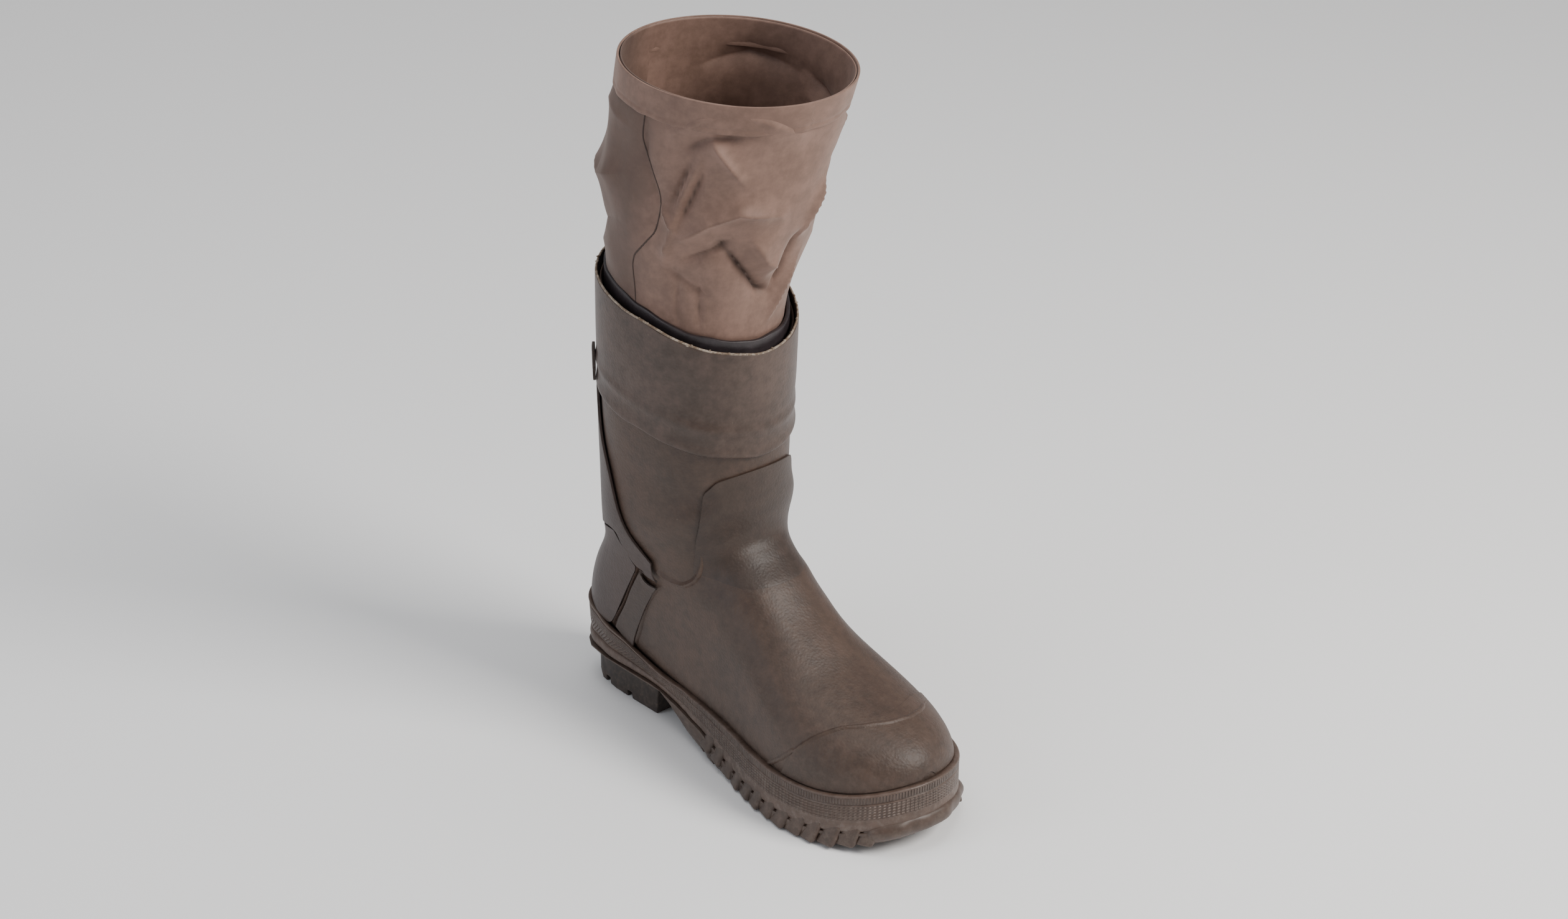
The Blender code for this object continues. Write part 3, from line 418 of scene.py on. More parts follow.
def subdivided(bm, levels):
    # the same mesh after a subdivision surface
    mesh = bpy.data.meshes.new("work")
    bm.to_mesh(mesh)
    bm.free()
    work = bpy.data.objects.new("work", mesh)
    bpy.context.scene.collection.objects.link(work)
    smooth = work.modifiers.new("smooth", "SUBSURF")
    smooth.levels = smooth.render_levels = levels
    seen = work.evaluated_get(bpy.context.evaluated_depsgraph_get())
    made = bmesh.new()
    made.from_mesh(seen.to_mesh())
    seen.to_mesh_clear()
    bpy.data.objects.remove(work)
    return made


def bevelSharp(bm, width, segments=2, angle=50):
    bm.normal_update()
    edges = [e for e in bm.edges if len(e.link_faces) == 2 and e.calc_face_angle(0.0) > math.radians(angle)]
    bmesh.ops.bevel(
        bm, geom=edges, offset=width, offset_type="OFFSET", segments=segments, profile=0.5, affect="EDGES",
        material=-1, clamp_overlap=True,
    )


def roundedCopy(name, width, levels):
    bm = nodeCopy(name)
    bevelSharp(bm, width)
    return subdivided(bm, levels)


def nearLine(points, path):
    # distance of many points to a line through a few places, and how far along it each lies
    best = np.full(len(points), 1e9)
    along = np.zeros(len(points))
    steps = len(path) - 1
    for i in range(steps):
        start = np.array(path[i], float)
        span = np.array(path[i + 1], float) - start
        share = np.clip(((points - start) @ span) / max(span @ span, 1e-12), 0, 1)
        gap = np.linalg.norm(points - start - share[:, None] * span, axis=1)
        closer = gap < best
        best = np.where(closer, gap, best)
        along = np.where(closer, (i + share) / steps, along)
    return best, along


def softPress(points, normals, creases):
    # moves points along their normals: ridges have a height above 0, troughs one below 0
    moved = points.copy()
    for crease in creases:
        path = [np.array(p) * mm for p in crease["path"]]
        gap, along = nearLine(points, path)
        fade = np.clip(np.minimum(along, 1 - along) / 0.18, 0, 1)
        bell = np.exp(-(gap / (crease["width"] * mm)) ** 2)
        moved += normals * (crease["height"] * mm * bell * fade)[:, None]
    return moved


def meshPoints(bm):
    bm.verts.ensure_lookup_table()
    bm.normal_update()
    return np.array([v.co[:] for v in bm.verts]), np.array([v.normal[:] for v in bm.verts])


def setPoints(bm, points):
    for vert, point in zip(bm.verts, points):
        vert.co = point


def mirrorAcross(path):
    return [(-x, y, z) for x, y, z in path]


# Upper

upperPlan = {
    "levels": 2,
    "instepRidge": {"width": 8.0, "height": 1.1},
    "instepTrough": {"width": 13.0, "height": -0.9},
    "ankleHollow": {"width": 14.0, "height": -1.4},
}
instepLine = [
    (38, -104, 122), (28, -121, 128), (10, -131, 131), (-9, -131, 131), (-28, -122, 129), (-38, -108, 118),
    (-43, -90, 110),
]
aboveInstep = [
    (34, -100, 139), (20, -112, 143), (0, -117, 145), (-20, -112, 143), (-36, -97, 134), (-44, -80, 122),
]
upperCreases = [
    {"path": instepLine, **upperPlan["instepRidge"]},
    {"path": aboveInstep, **upperPlan["instepTrough"]},
    {"path": [(-52, -40, 118), (-50, -60, 110), (-46, -82, 100)], **upperPlan["ankleHollow"]},
    {"path": [(52, -40, 118), (50, -60, 110), (46, -82, 100)], **upperPlan["ankleHollow"]},
    {"path": [(-30, -128, 112), (-40, -118, 96), (-48, -104, 78)], "width": 8.0, "height": 0.7},
    {"path": [(34, -130, 108), (44, -120, 92), (52, -108, 76)], "width": 8.0, "height": 0.7},
    {"path": [(-20, -150, 116), (6, -155, 118), (32, -148, 108)], "width": 9.0, "height": -0.6},
    {
        "path": [(-44, -170, 74), (-20, -184, 92), (14, -188, 94), (46, -178, 76)],
        "width": 10.0, "height": -0.7,
    },
    {"path": [(-55, -30, 196), (-50, -70, 186), (-30, -98, 178)], "width": 9.0, "height": -0.7},
    {"path": [(55, -28, 190), (50, -68, 182), (30, -98, 176)], "width": 9.0, "height": -0.7},
]


def makeUpper():
    bm = subdivided(nodeCopy("upper"), upperPlan["levels"])
    points, normals = meshPoints(bm)
    setPoints(bm, softPress(points, normals, upperCreases))
    return finishPiece(bm, "upperShell", brownRubber, ["upper"], sharp=0)


upper = makeUpper()
upperTree = BVHTree.FromObject(upper, bpy.context.evaluated_depsgraph_get())
print("upper made")


# Layers on the upper

layerPlan = {
    "back_stay": {"piece": "backStay", "material": stayRubber, "slot": "brown_rubber"},
    "heel_counter": {"piece": "heelCounter", "material": stayRubber, "slot": "brown_rubber"},
    "side_strip_inner": {"piece": "sideStripInner", "material": stripRubber, "slot": "dark_rubber"},
    "side_strip_outer": {"piece": "sideStripOuter", "material": stripRubber, "slot": "dark_rubber"},
    "toe_cap": {"piece": "toeCap", "material": brownRubber, "slot": "brown_rubber", "fade": (0, 1, 0.35)},
    "shin_panel": {
        "piece": "shinPanel", "material": panelRubber, "slot": "brown_rubber", "fade": (124, 146, 0.75),
    },
    "cuff_tab": {"piece": "cuffTab", "material": stripRubber, "slot": "dark_rubber"},
}


def settle(points, low, high, most=1.0):
    # presses a layer down on the upper: above the high mark it stands most of its own thickness out,
    # and below the low mark it is sunk in
    settled = points.copy()
    for i, point in enumerate(points):
        share = min(max((point[2] / mm - low) / (high - low), 0), 1)
        if share * most < 1:
            hit, normal, _, _ = upperTree.find_nearest(Vector(point))
            gap = (Vector(point) - hit).dot(normal)
            settled[i] = hit + normal * (share * most * gap - 0.9 * mm * (1 - share))
    return settled


for nodeName, look in layerPlan.items():
    bm = roundedCopy(nodeName, 0.35 * mm, 2)
    points, normals = meshPoints(bm)
    points = softPress(points, normals, upperCreases)
    if "fade" in look:
        points = settle(points, *look["fade"])
    setPoints(bm, points)
    made = finishPiece(bm, look["piece"], look["material"], [nodeName], sharp=0)
    if nodeName == "toe_cap":
        toeCap = made
print("layers made")


def surfaceStrip(name, tree, path, width, profile, material, wall=0.8):
    # a narrow strip laid along a line on a surface; profile gives its lift in mm from one edge to the other
    path = [Vector(p) * mm for p in path]
    lengths = [0.0]
    for a, b in zip(path, path[1:]):
        lengths.append(lengths[-1] + (b - a).length)
    count = max(8, int(lengths[-1] / (1.6 * mm)))
    centre = []
    for i in range(count + 1):
        want = lengths[-1] * i / count
        centre.append(Vector([float(np.interp(want, lengths, [p[k] for p in path])) for k in range(3)]))
    for _ in range(6):
        centre = [centre[0]] + [
            0.25 * a + 0.5 * b + 0.25 * c for a, b, c in zip(centre, centre[1:], centre[2:])
        ] + [centre[-1]]
    centre = [tree.find_nearest(p)[0] for p in centre]
    bm = bmesh.new()
    bmesh.ops.create_grid(bm, x_segments=count, y_segments=6, size=0.5)
    shares = [k / (len(profile) - 1) for k in range(len(profile))]
    for vert in bm.verts:
        i = int(round((vert.co.x + 0.5) * count))
        across = vert.co.y + 0.5
        along = (centre[min(i + 1, count)] - centre[max(i - 1, 0)]).normalized()
        out = surfaceNormal(tree, centre[i])
        side = along.cross(out).normalized()
        place = centre[i] + side * ((across - 0.5) * width * mm)
        hit = tree.find_nearest(place)[0]
        end = min(i, count - i) / count
        taper = min(1.0, end / 0.06)
        lift = float(np.interp(across, shares, profile)) * taper - 0.25 * (1 - taper)
        vert.co = hit + out * (lift * mm)
    bmesh.ops.recalc_face_normals(bm, faces=bm.faces)
    bm.faces.ensure_lookup_table()
    first = bm.faces[len(bm.faces) // 2]
    if first.normal.dot(surfaceNormal(tree, first.calc_center_median())) < 0:
        bmesh.ops.reverse_faces(bm, faces=bm.faces)
    bmesh.ops.solidify(bm, geom=bm.faces, thickness=wall * mm)
    return finishPiece(bm, name, material, sharp=50)


def surfaceNormal(tree, point):
    # average over a few near places, so that the facets don't show
    total = Vector((0, 0, 0))
    shifts = ((0, 0, 0), (1, 0, 0), (-1, 0, 0), (0, 1, 0), (0, -1, 0), (0, 0, 1), (0, 0, -1))
    for shift in shifts:
        total += tree.find_nearest(Vector(point) + Vector(shift) * (1.5 * mm))[1]
    return total.normalized()


heelLineOne = [(-49, -45, 131), (-45, -40, 117), (-43, -23, 83), (-36, -5, 56)]
heelLineTwo = [(-44, -57, 110), (-44, -43, 89), (-42, -35, 65), (-37, -27, 50)]
quarterLow = [
    (-46, -56, 123), (-43, -68, 119), (-41, -80, 120), (-38, -88, 127), (-36, -90, 138), (-36, -88, 152),
]
linePlan = [
    {"name": "heelLine", "path": heelLineOne, "width": 2.6, "profile": [-0.3, 1.5, 2.5, 1.5, -0.3]},
    {"name": "vampLine", "path": heelLineTwo, "width": 4.6, "profile": [-0.3, 0.9, 1.5, 1.1, -0.3]},
    {"name": "quarterLine", "path": quarterLow, "width": 5.0, "profile": [-0.3, 0.6, 1.8, 1.4, -0.3]},
]
for line in linePlan:
    for suffix, path in (("Inner", line["path"]), ("Outer", mirrorAcross(line["path"]))):
        profile = line["profile"] if suffix == "Inner" else line["profile"][::-1]
        surfaceStrip(
            line["name"] + suffix, upperTree, path, line["width"], profile, brownRubber
        )


def joinedTree(pieces):
    places, faces = [], []
    for piece in pieces:
        start = len(places)
        places += [v.co.copy() for v in piece.data.vertices]
        faces += [[start + k for k in polygon.vertices] for polygon in piece.data.polygons]
    return BVHTree.FromPolygons(places, faces)


toeLine = [
    (-62, -164, 27), (-58, -178, 38), (-55, -190, 48), (-53, -201, 60), (-47, -208, 69), (-34, -216, 76),
    (-20, -227, 77), (-3, -235, 78), (14, -236, 76), (30, -230, 72), (44, -218, 64), (54, -204, 52),
]
toeProfile = [-0.4, 0.5, 0.95, 0.5, -0.4]
surfaceStrip(
    "toeLine", joinedTree([upper, toeCap]), toeLine, 4.4, toeProfile, brownRubber
)
print("raised lines made")


# Cuff, rim and inner band

cuffPlan = {
    "centreY": -0.037, "ridgeUp": 17.0, "ridgeWidth": 3.2, "ridgeHeight": 0.9,
    "dents": [
        {"path": [(-58, -60, 262), (-40, -96, 254), (0, -110, 250)], "width": 14.0, "height": -0.9},
        {"path": [(30, -100, 232), (52, -70, 238), (60, -40, 246)], "width": 12.0, "height": -0.8},
        {"path": [(-30, 16, 262), (0, 30, 268), (30, 18, 264)], "width": 13.0, "height": -0.8},
        {"path": [(-52, -82, 236), (-30, -102, 228)], "width": 7.0, "height": 0.6},
    ],
}


def makeCuff():
    bm = roundedCopy("cuff", 0.6 * mm, 3)
    points, normals = meshPoints(bm)
    moved = softPress(points, normals, cuffPlan["dents"])
    turn = turnRound(points)
    low, high = ringEdges(points, turn)
    up = (points[:, 2] - low) / mm
    ridge = np.exp(-((up - cuffPlan["ridgeUp"]) / cuffPlan["ridgeWidth"]) ** 2)
    flare = np.exp(-(up / 5.0) ** 2)
    moved += normals * ((cuffPlan["ridgeHeight"] * ridge + 1.1 * flare) * mm)[:, None]
    wave = 0.7 * np.sin(3 * turn + 0.6) + 0.45 * np.sin(7 * turn + 2.0) + 0.25 * np.sin(13 * turn)
    share = np.clip((points[:, 2] - low) / (high - low), 0, 1)
    moved[:, 2] += wave * (2 * np.abs(share - 0.5)) ** 2 * mm
    setPoints(bm, moved)
    return finishPiece(bm, "foldedCuff", cuffRubber, ["cuff"], sharp=0)


def turnRound(points):
    # round the cuff's middle, in radians
    return np.arctan2(points[:, 0], points[:, 1] - cuffPlan["centreY"])


def ringEdges(points, turn):
    # height of a ring's lower and upper edge at each place round it
    count = 64
    bins = np.floor((turn + math.pi) / (2 * math.pi) * count).astype(int) % count
    low = np.array([points[bins == k, 2].min() for k in range(count)])
    high = np.array([points[bins == k, 2].max() for k in range(count)])
    middles = (np.arange(count) + 0.5) / count * 2 * math.pi - math.pi
    return (
        np.interp(turn, middles, low, period=2 * math.pi),
        np.interp(turn, middles, high, period=2 * math.pi),
    )


cuff = makeCuff()


def ringAt(piece, share, lift, count):
    # points round the piece's outer face at a share of its height, from the back, in order
    points = np.array([v.co[:] for v in piece.data.vertices])
    turn = turnRound(points)
    low, high = ringEdges(points, turn)
    order = np.argsort(turn)
    level = (low + share * (high - low))[order]
    tree = BVHTree.FromObject(piece, bpy.context.evaluated_depsgraph_get())
    ring = []
    for i in range(count):
        angle = 2 * math.pi * i / count
        z = float(np.interp(angle, turn[order], level, period=2 * math.pi))
        out = Vector((math.sin(angle), math.cos(angle), 0))
        hit = tree.ray_cast(Vector((0, cuffPlan["centreY"], z)) + out * 0.2, -out)[0]
        if hit is not None:
            ring.append(hit + out * lift)
    return ring


rimPlan = {"share": 0.985, "radius": 0.75 * mm, "flecks": 46, "seed": 7}


def makeRim():
    # thin tan edge that runs round the top of the cuff
    ring = ringAt(cuff, rimPlan["share"], -0.9 * mm, 180)
    bm = bmesh.new()
    count = len(ring)
    turns = [2 * math.pi * k / 8 for k in range(8)]
    profile = [(rimPlan["radius"] * math.cos(t), rimPlan["radius"] * math.sin(t)) for t in turns]
    rows = []
    for i in range(count):
        along = (ring[(i + 1) % count] - ring[i - 1]).normalized()
        out = Vector((0, 0, 1)).cross(along).normalized()
        up = along.cross(out)
        rows.append([bm.verts.new(ring[i] + out * x + up * (y * 1.1 + 1.1 * mm)) for x, y in profile])
    edges = [[bm.edges.new((row[j], row[(j + 1) % 8])) for j in range(8)] for row in rows]
    for i in range(count):
        bmesh.ops.bridge_loops(bm, edges=edges[i] + edges[(i + 1) % count])
    bmesh.ops.recalc_face_normals(bm, faces=bm.faces)
    finishPiece(bm, "cuffRim", tanEdge, sharp=0)
    return ring


rimRing = makeRim()


def makeFlecks():
    # small lumps of dried glue on the rim
    chance = np.random.default_rng(rimPlan["seed"])
    bm = bmesh.new()
    for _ in range(rimPlan["flecks"]):
        i = int(chance.integers(0, len(rimRing)))
        size = float(chance.uniform(0.4, 1.0)) * mm
        lump = bmesh.ops.create_icosphere(bm, subdivisions=1, radius=size)["verts"]
        stretch = Vector((float(chance.uniform(0.8, 2.2)), float(chance.uniform(0.8, 1.6)), 0.7))
        bmesh.ops.scale(bm, vec=stretch, verts=lump)
        up = float(chance.uniform(0.5, 2.2)) * mm
        bmesh.ops.translate(bm, vec=rimRing[i] + Vector((0, 0, up)), verts=lump)
    return finishPiece(bm, "glueFlecks", tanEdge, sharp=0)


makeFlecks()


def makeInnerBand():
    bm = roundedCopy("liner", 0.8 * mm, 3)
    points = meshPoints(bm)[0]
    turn = turnRound(points)
    low, high = ringEdges(points, turn)
    share = np.clip((points[:, 2] - low) / (high - low), 0, 1)
    wave = 0.8 * np.sin(4 * turn + 1.0) + 0.5 * np.sin(9 * turn) + 0.3 * np.sin(17 * turn + 0.7)
    points[:, 2] += wave * share ** 4 * mm
    setPoints(bm, points)
    return finishPiece(bm, "innerBand", bandRubber, ["liner"], sharp=0)


makeInnerBand()
print("cuff, rim and inner band made")


# Band round the sole

bandPlan = {
    "stations": 520, "centre": (0.004, -0.115), "backY": 0.0415, "length": 0.3125,
    # share of the band's height from its foot, and how far the face stands out at the toe and the heel, in mm
    "section": [
        (0.00, -1.4, -1.6), (0.015, -0.2, -0.3), (0.05, 0.5, 0.8), (0.11, 0.8, 1.4), (0.18, 0.85, 1.5),
        (0.25, 0.8, 1.0), (0.285, 0.75, 0.2), (0.30, 0.7, -0.5), (0.325, 0.7, -0.5), (0.34, 0.85, 0.1),
        (0.42, 0.95, 0.3), (0.52, 1.0, 0.3), (0.62, 1.1, 0.15), (0.70, 1.15, 0.1), (0.765, 1.2, 0.08),
        (0.78, 0.7, 0.06), (0.795, 1.25, 0.05), (0.88, 1.4, -0.1), (0.90, 1.4, -0.9), (0.92, 1.45, -1.0),
        (0.94, 1.5, -0.2), (0.985, 1.6, 0.2), (1.01, 1.2, 0.1), (1.02, 0.5, -0.5), (1.01, -2.4, -2.6),
        (0.96, -3.4, -3.4),
    ],
}


def evened(table):
    return 0.25 * np.roll(table, 1, 0) + 0.5 * table + 0.25 * np.roll(table, -1, 0)


def soleRing(count):
    # even stations round the band from the toe: place, foot and top height, and how far the top leans out
    tree = nodeTree("foxing")
    cx, cy = bandPlan["centre"]
    heights = np.arange(6, 63, 0.75) * mm
    rows = []
    for i in range(900):
        angle = 2 * math.pi * i / 900
        out = Vector((math.sin(angle), -math.cos(angle), 0))
        reach = np.zeros(len(heights))
        for k, z in enumerate(heights):
            middle = Vector((cx, cy, z))
            hit = tree.ray_cast(middle + out * 0.3, -out)[0]
            if hit is not None:
                reach[k] = (hit - middle).dot(out)
        good = np.nonzero(reach > reach.max() - 6 * mm)[0]
        foot, top = heights[good[0]] - 0.3 * mm, heights[good[-1]] + 0.3 * mm
        low = float(np.interp(foot + 0.3 * (top - foot), heights[good], reach[good]))
        high = float(np.interp(foot + 0.85 * (top - foot), heights[good], reach[good]))
        rows.append((cx + out.x * low, cy + out.y * low, foot, top, high - low))
    table = np.array(rows)
    # the middle one of near values, which leaves out the few rays that met another face
    reach = 28
    near = np.stack([np.roll(table[:, 2:], k, 0) for k in range(-reach, reach + 1)])
    table[:, 2:] = np.median(near, 0)
    for _ in range(60):
        table[:, 2:] = evened(table[:, 2:])
    for _ in range(12):
        table = evened(table)
    table = np.vstack([table, table[:1]])
    steps = np.concatenate([[0], np.cumsum(np.linalg.norm(np.diff(table[:, :2], axis=0), axis=1))])
    want = np.linspace(0, steps[-1], count + 1)[:-1]
    even = np.stack([np.interp(want, steps, table[:, k]) for k in range(5)], 1)
    along = np.roll(even[:, :2], -1, 0) - np.roll(even[:, :2], 1, 0)
    out = np.stack([-along[:, 1], along[:, 0]], 1) / np.linalg.norm(along, axis=1)[:, None]
    if ((even[:, :2] - even[:, :2].mean(0)) * out).sum() < 0:
        out = -out
    return even, out, want[1]


ringTable, ringOut, ringStep = soleRing(bandPlan["stations"])


def makeBand():
    count = bandPlan["stations"]
    section = [(0.0, -5.0, -5.0)] + bandPlan["section"]
    bm = bmesh.new()
    bmesh.ops.create_grid(bm, x_segments=count, y_segments=len(section) - 1, size=0.5)
    alongMap = bm.loops.layers.uv.new("band")
    zoneMap = bm.loops.layers.uv.new("zone")
    facts = {}
    for vert in bm.verts:
        i = int(round((vert.co.x + 0.5) * count))
        share, toeLift, heelLift = section[int(round((vert.co.y + 0.5) * (len(section) - 1)))]
        x, y, foot, top, splay = ringTable[i % count]
        heel = min(max((y + 0.10) / 0.08, 0), 1)
        leanOut = splay * min(max((share - 0.3) / 0.55, -0.3), 1.2)
        lift = leanOut + (toeLift + (heelLift - toeLift) * heel) * mm
        out = ringOut[i % count]
        vert.co = (x + out[0] * lift, y + out[1] * lift, foot + share * (top - foot))
        facts[vert] = ((ringStep * i, share * (top - foot)), (heel, share))
    for face in bm.faces:
        for loop in face.loops:
            loop[alongMap].uv, loop[zoneMap].uv = facts[loop.vert]
    bmesh.ops.remove_doubles(bm, verts=bm.verts, dist=0.02 * mm)
    bmesh.ops.bridge_loops(bm, edges=[e for e in bm.edges if e.is_boundary])
    bmesh.ops.recalc_face_normals(bm, faces=bm.faces)
    return finishPiece(bm, "soleBand", bandPattern, ["foxing"], sharp=55)


makeBand()
print("sole band made")


# Tread and heel

treadPlan = {"bevel": 0.9 * mm, "heelBevel": 1.1 * mm}


def makeTread():
    bm = nodeCopy("outsole")
    bmesh.ops.dissolve_limit(bm, angle_limit=math.radians(4), verts=bm.verts, edges=bm.edges)
    bevelSharp(bm, treadPlan["bevel"], 2, 35)
    return finishPiece(bm, "tread", soleRubber, ["outsole"], sharp=35)


def makeHeelBlock():
    bm = nodeCopy("heel")
    bmesh.ops.dissolve_limit(bm, angle_limit=math.radians(3), verts=bm.verts, edges=bm.edges)
    bevelSharp(bm, treadPlan["heelBevel"], 3, 40)
    return finishPiece(bm, "heelBlock", shadedHeelRubber, ["heel"], sharp=35)


makeTread()
makeHeelBlock()

lugPlan = {
    "pitch": 12.5 * mm, "from": 0.43, "to": 1.05, "length": 14.5 * mm, "depth": 9.0 * mm, "out": 3.5 * mm,
    "rise": 6.5 * mm, "lean": 6.5 * mm, "seed": 3,
}


def makeSideLugs():
    # blocks that stand out along the tread's edge, each one slanted and a little uneven
    chance = np.random.default_rng(lugPlan["seed"])
    every = max(1, int(round(lugPlan["pitch"] / ringStep)))
    bm = bmesh.new()
    for i in range(0, bandPlan["stations"], every):
        x, y, foot, _, _ = ringTable[i]
        share = (bandPlan["backY"] - y) / bandPlan["length"]
        if not lugPlan["from"] < share < lugPlan["to"] or (y < -0.252 and x > -0.03):
            continue
        low = max(foot - 9.7 * mm, 0.3 * mm)
        high = foot + lugPlan["rise"] * float(chance.uniform(0.75, 1.15))
        made = bmesh.ops.create_cube(bm, size=1.0)["verts"]
        length = lugPlan["length"] * float(chance.uniform(0.85, 1.1))
        out = lugPlan["out"] * float(chance.uniform(0.7, 1.2))
        forward = -1 if x > 0 else 1
        for vert in made:
            top = vert.co.z > 0
            # one end of each block stands further out than the other, so they overlap like scales
            stand = out * (1.35 if vert.co.y * forward > 0 else 0.55)
            vert.co.x = vert.co.x * lugPlan["depth"] - 0.5 * lugPlan["depth"]
            vert.co.x += 0.15 * stand if top else stand
            vert.co.y = vert.co.y * length * (0.72 if top else 1.0)
            vert.co.y += lugPlan["lean"] * forward if top else 0
            vert.co.z = high if top else low
        turn = math.atan2(ringOut[i][1], ringOut[i][0])
        matrix = Matrix.Translation((x, y, 0)) @ Matrix.Rotation(turn, 4, "Z")
        bmesh.ops.transform(bm, matrix=matrix, verts=made)
    bmesh.ops.bevel(
        bm, geom=bm.edges[:], offset=2.6 * mm, offset_type="OFFSET", segments=3, profile=0.5, affect="EDGES",
        material=-1, clamp_overlap=True,
    )
    return finishPiece(bm, "sideLugs", soleRubber, sharp=0)


bumperPlan = {"from": (-0.036, -0.252), "to": (0.050, -0.232), "out": 4.2, "below": 8.0, "above": 4.0}


def makeToeBumper():
    # one smooth, slightly lumpy roll of rubber round the tip of the toe
    stations = bandPlan["stations"]
    ends = [int(np.argmin(np.hypot(*(ringTable[:, :2] - bumperPlan[k]).T))) for k in ("from", "to")]
    first, last = ends if (ends[1] - ends[0]) % stations < stations / 2 else ends[::-1]
    count = (last - first) % stations
    around = 20
    bm = bmesh.new()
    bmesh.ops.create_grid(bm, x_segments=count, y_segments=around, size=0.5)
    for vert in bm.verts:
        i = int(round((vert.co.x + 0.5) * count))
        turn = 2 * math.pi * (vert.co.y + 0.5)
        j = (first + i) % stations
        end = min(i, count - i) / count
        taper = math.sqrt(max(1 - (1 - min(end / 0.12, 1.0)) ** 2, 0.0004))
        lump = 0.6 * math.sin(i * 0.21) + 0.4 * math.sin(i * 0.47 + 1) + 0.3 * math.sin(3 * turn + i * 0.1)
        x, y, foot, _, _ = ringTable[j]
        low = foot - bumperPlan["below"] * mm
        high = foot + bumperPlan["above"] * mm
        stand = (bumperPlan["out"] + lump) * mm * math.cos(turn) * taper
        plan = (x + ringOut[j][0] * (stand - 0.4 * mm), y + ringOut[j][1] * (stand - 0.4 * mm))
        vert.co = (*plan, 0.5 * (low + high) + 0.5 * (high - low) * math.sin(turn) * (0.35 + 0.65 * taper))
    bmesh.ops.remove_doubles(bm, verts=bm.verts, dist=0.02 * mm)
    bmesh.ops.holes_fill(bm, edges=[e for e in bm.edges if e.is_boundary])
    bmesh.ops.recalc_face_normals(bm, faces=bm.faces)
    return finishPiece(bm, "toeBumper", soleRubber, sharp=0)


makeToeBumper()
makeSideLugs()
print("tread, heel and lugs made")


# Leg

legPlan = {
    "around": 260, "rows": 150, "bottom": 268 * mm, "strength": 2.0, "flat": (0.455, 0.203),
    "centre": (0.004, -0.045), "hemCentre": (0.007, -0.058), "radius": 0.072,
    # each fold: width and height in mm, then its line as turn round the leg from the back, outer side
    # first, and height above the floor in mm
    "folds": [
        (5.0, -4.5, [(0.611, 368), (0.572, 350), (0.524, 330), (0.494, 325)]),
        (5.0, -4.5, [(0.494, 325), (0.479, 350), (0.464, 373)]),
        (9.0, 3.5, [(0.565, 372), (0.530, 352), (0.500, 345)]),
        (6.5, 4.2, [(0.690, 360), (0.632, 383), (0.592, 392), (0.524, 386)]),
        (5.0, -2.6, [(0.675, 350), (0.620, 362), (0.590, 372)]),
        (6.0, 3.2, [(0.704, 439), (0.669, 453), (0.625, 460), (0.585, 455), (0.526, 443)]),
        (5.0, -2.4, [(0.690, 428), (0.655, 440), (0.600, 444)]),
        (4.5, 3.0, [(0.656, 443), (0.626, 428), (0.589, 409)]),
        (3.2, -2.6, [(0.671, 424), (0.690, 388)]),
        (3.2, -2.6, [(0.650, 422), (0.676, 376)]),
        (3.5, 2.4, [(0.660, 424), (0.683, 386)]),
        (3.5, 2.5, [(0.706, 390), (0.679, 375)]),
        (4.0, 2.4, [(0.674, 392), (0.685, 367), (0.693, 347)]),
        (4.5, -1.5, [(0.694, 345), (0.650, 336), (0.607, 324)]),
        (2.8, -1.3, [(0.667, 338), (0.660, 298)]),
        (2.8, -1.3, [(0.633, 340), (0.622, 300)]),
        (4.0, 2.0, [(0.440, 350), (0.474, 318), (0.495, 300)]),
        (6.5, 3.0, [(0.430, 404), (0.455, 380), (0.475, 352)]),
        (16.0, 3.6, [(0.78, 400), (0.86, 385), (0.95, 392)]),
        (9.0, -1.4, [(0.79, 366), (0.87, 350), (0.96, 360)]),
        (12.0, 1.5, [(0.78, 430), (0.86, 436), (0.97, 424)]),
        (9.0, 1.0, [(0.82, 340), (0.92, 330), (1.02, 342)]),
        (7.0, -3.5, [(0.02, 380), (0.10, 366), (0.19, 372)]),
        (8.0, 3.6, [(0.00, 398), (0.09, 388), (0.20, 396)]),
        (6.0, -3.4, [(0.22, 352), (0.29, 336), (0.36, 330)]),
        (8.0, 3.2, [(0.20, 368), (0.29, 356), (0.38, 352)]),
        (7.0, 3.0, [(0.24, 440), (0.31, 426), (0.40, 432)]),
        (5.0, -2.6, [(0.26, 424), (0.34, 408), (0.41, 412)]),
        (8.0, 2.8, [(0.08, 430), (0.15, 442), (0.23, 436)]),
        (7.0, -1.6, [(0.757, 452), (0.744, 417), (0.706, 388), (0.714, 367), (0.752, 342)]),
        (3.5, -1.5, [(0.12, 330), (0.16, 305)]),
        (3.5, -1.5, [(0.33, 332), (0.345, 300)]),
    ],
    "innerSeam": [
        (0.758, 452), (0.757, 429), (0.744, 417), (0.714, 399), (0.706, 388), (0.714, 367), (0.750, 345),
        (0.753, 338), (0.747, 305),
    ],
    "outerSeam": [(0.245, 452), (0.250, 420), (0.262, 392), (0.270, 370), (0.256, 345), (0.250, 305)],
}


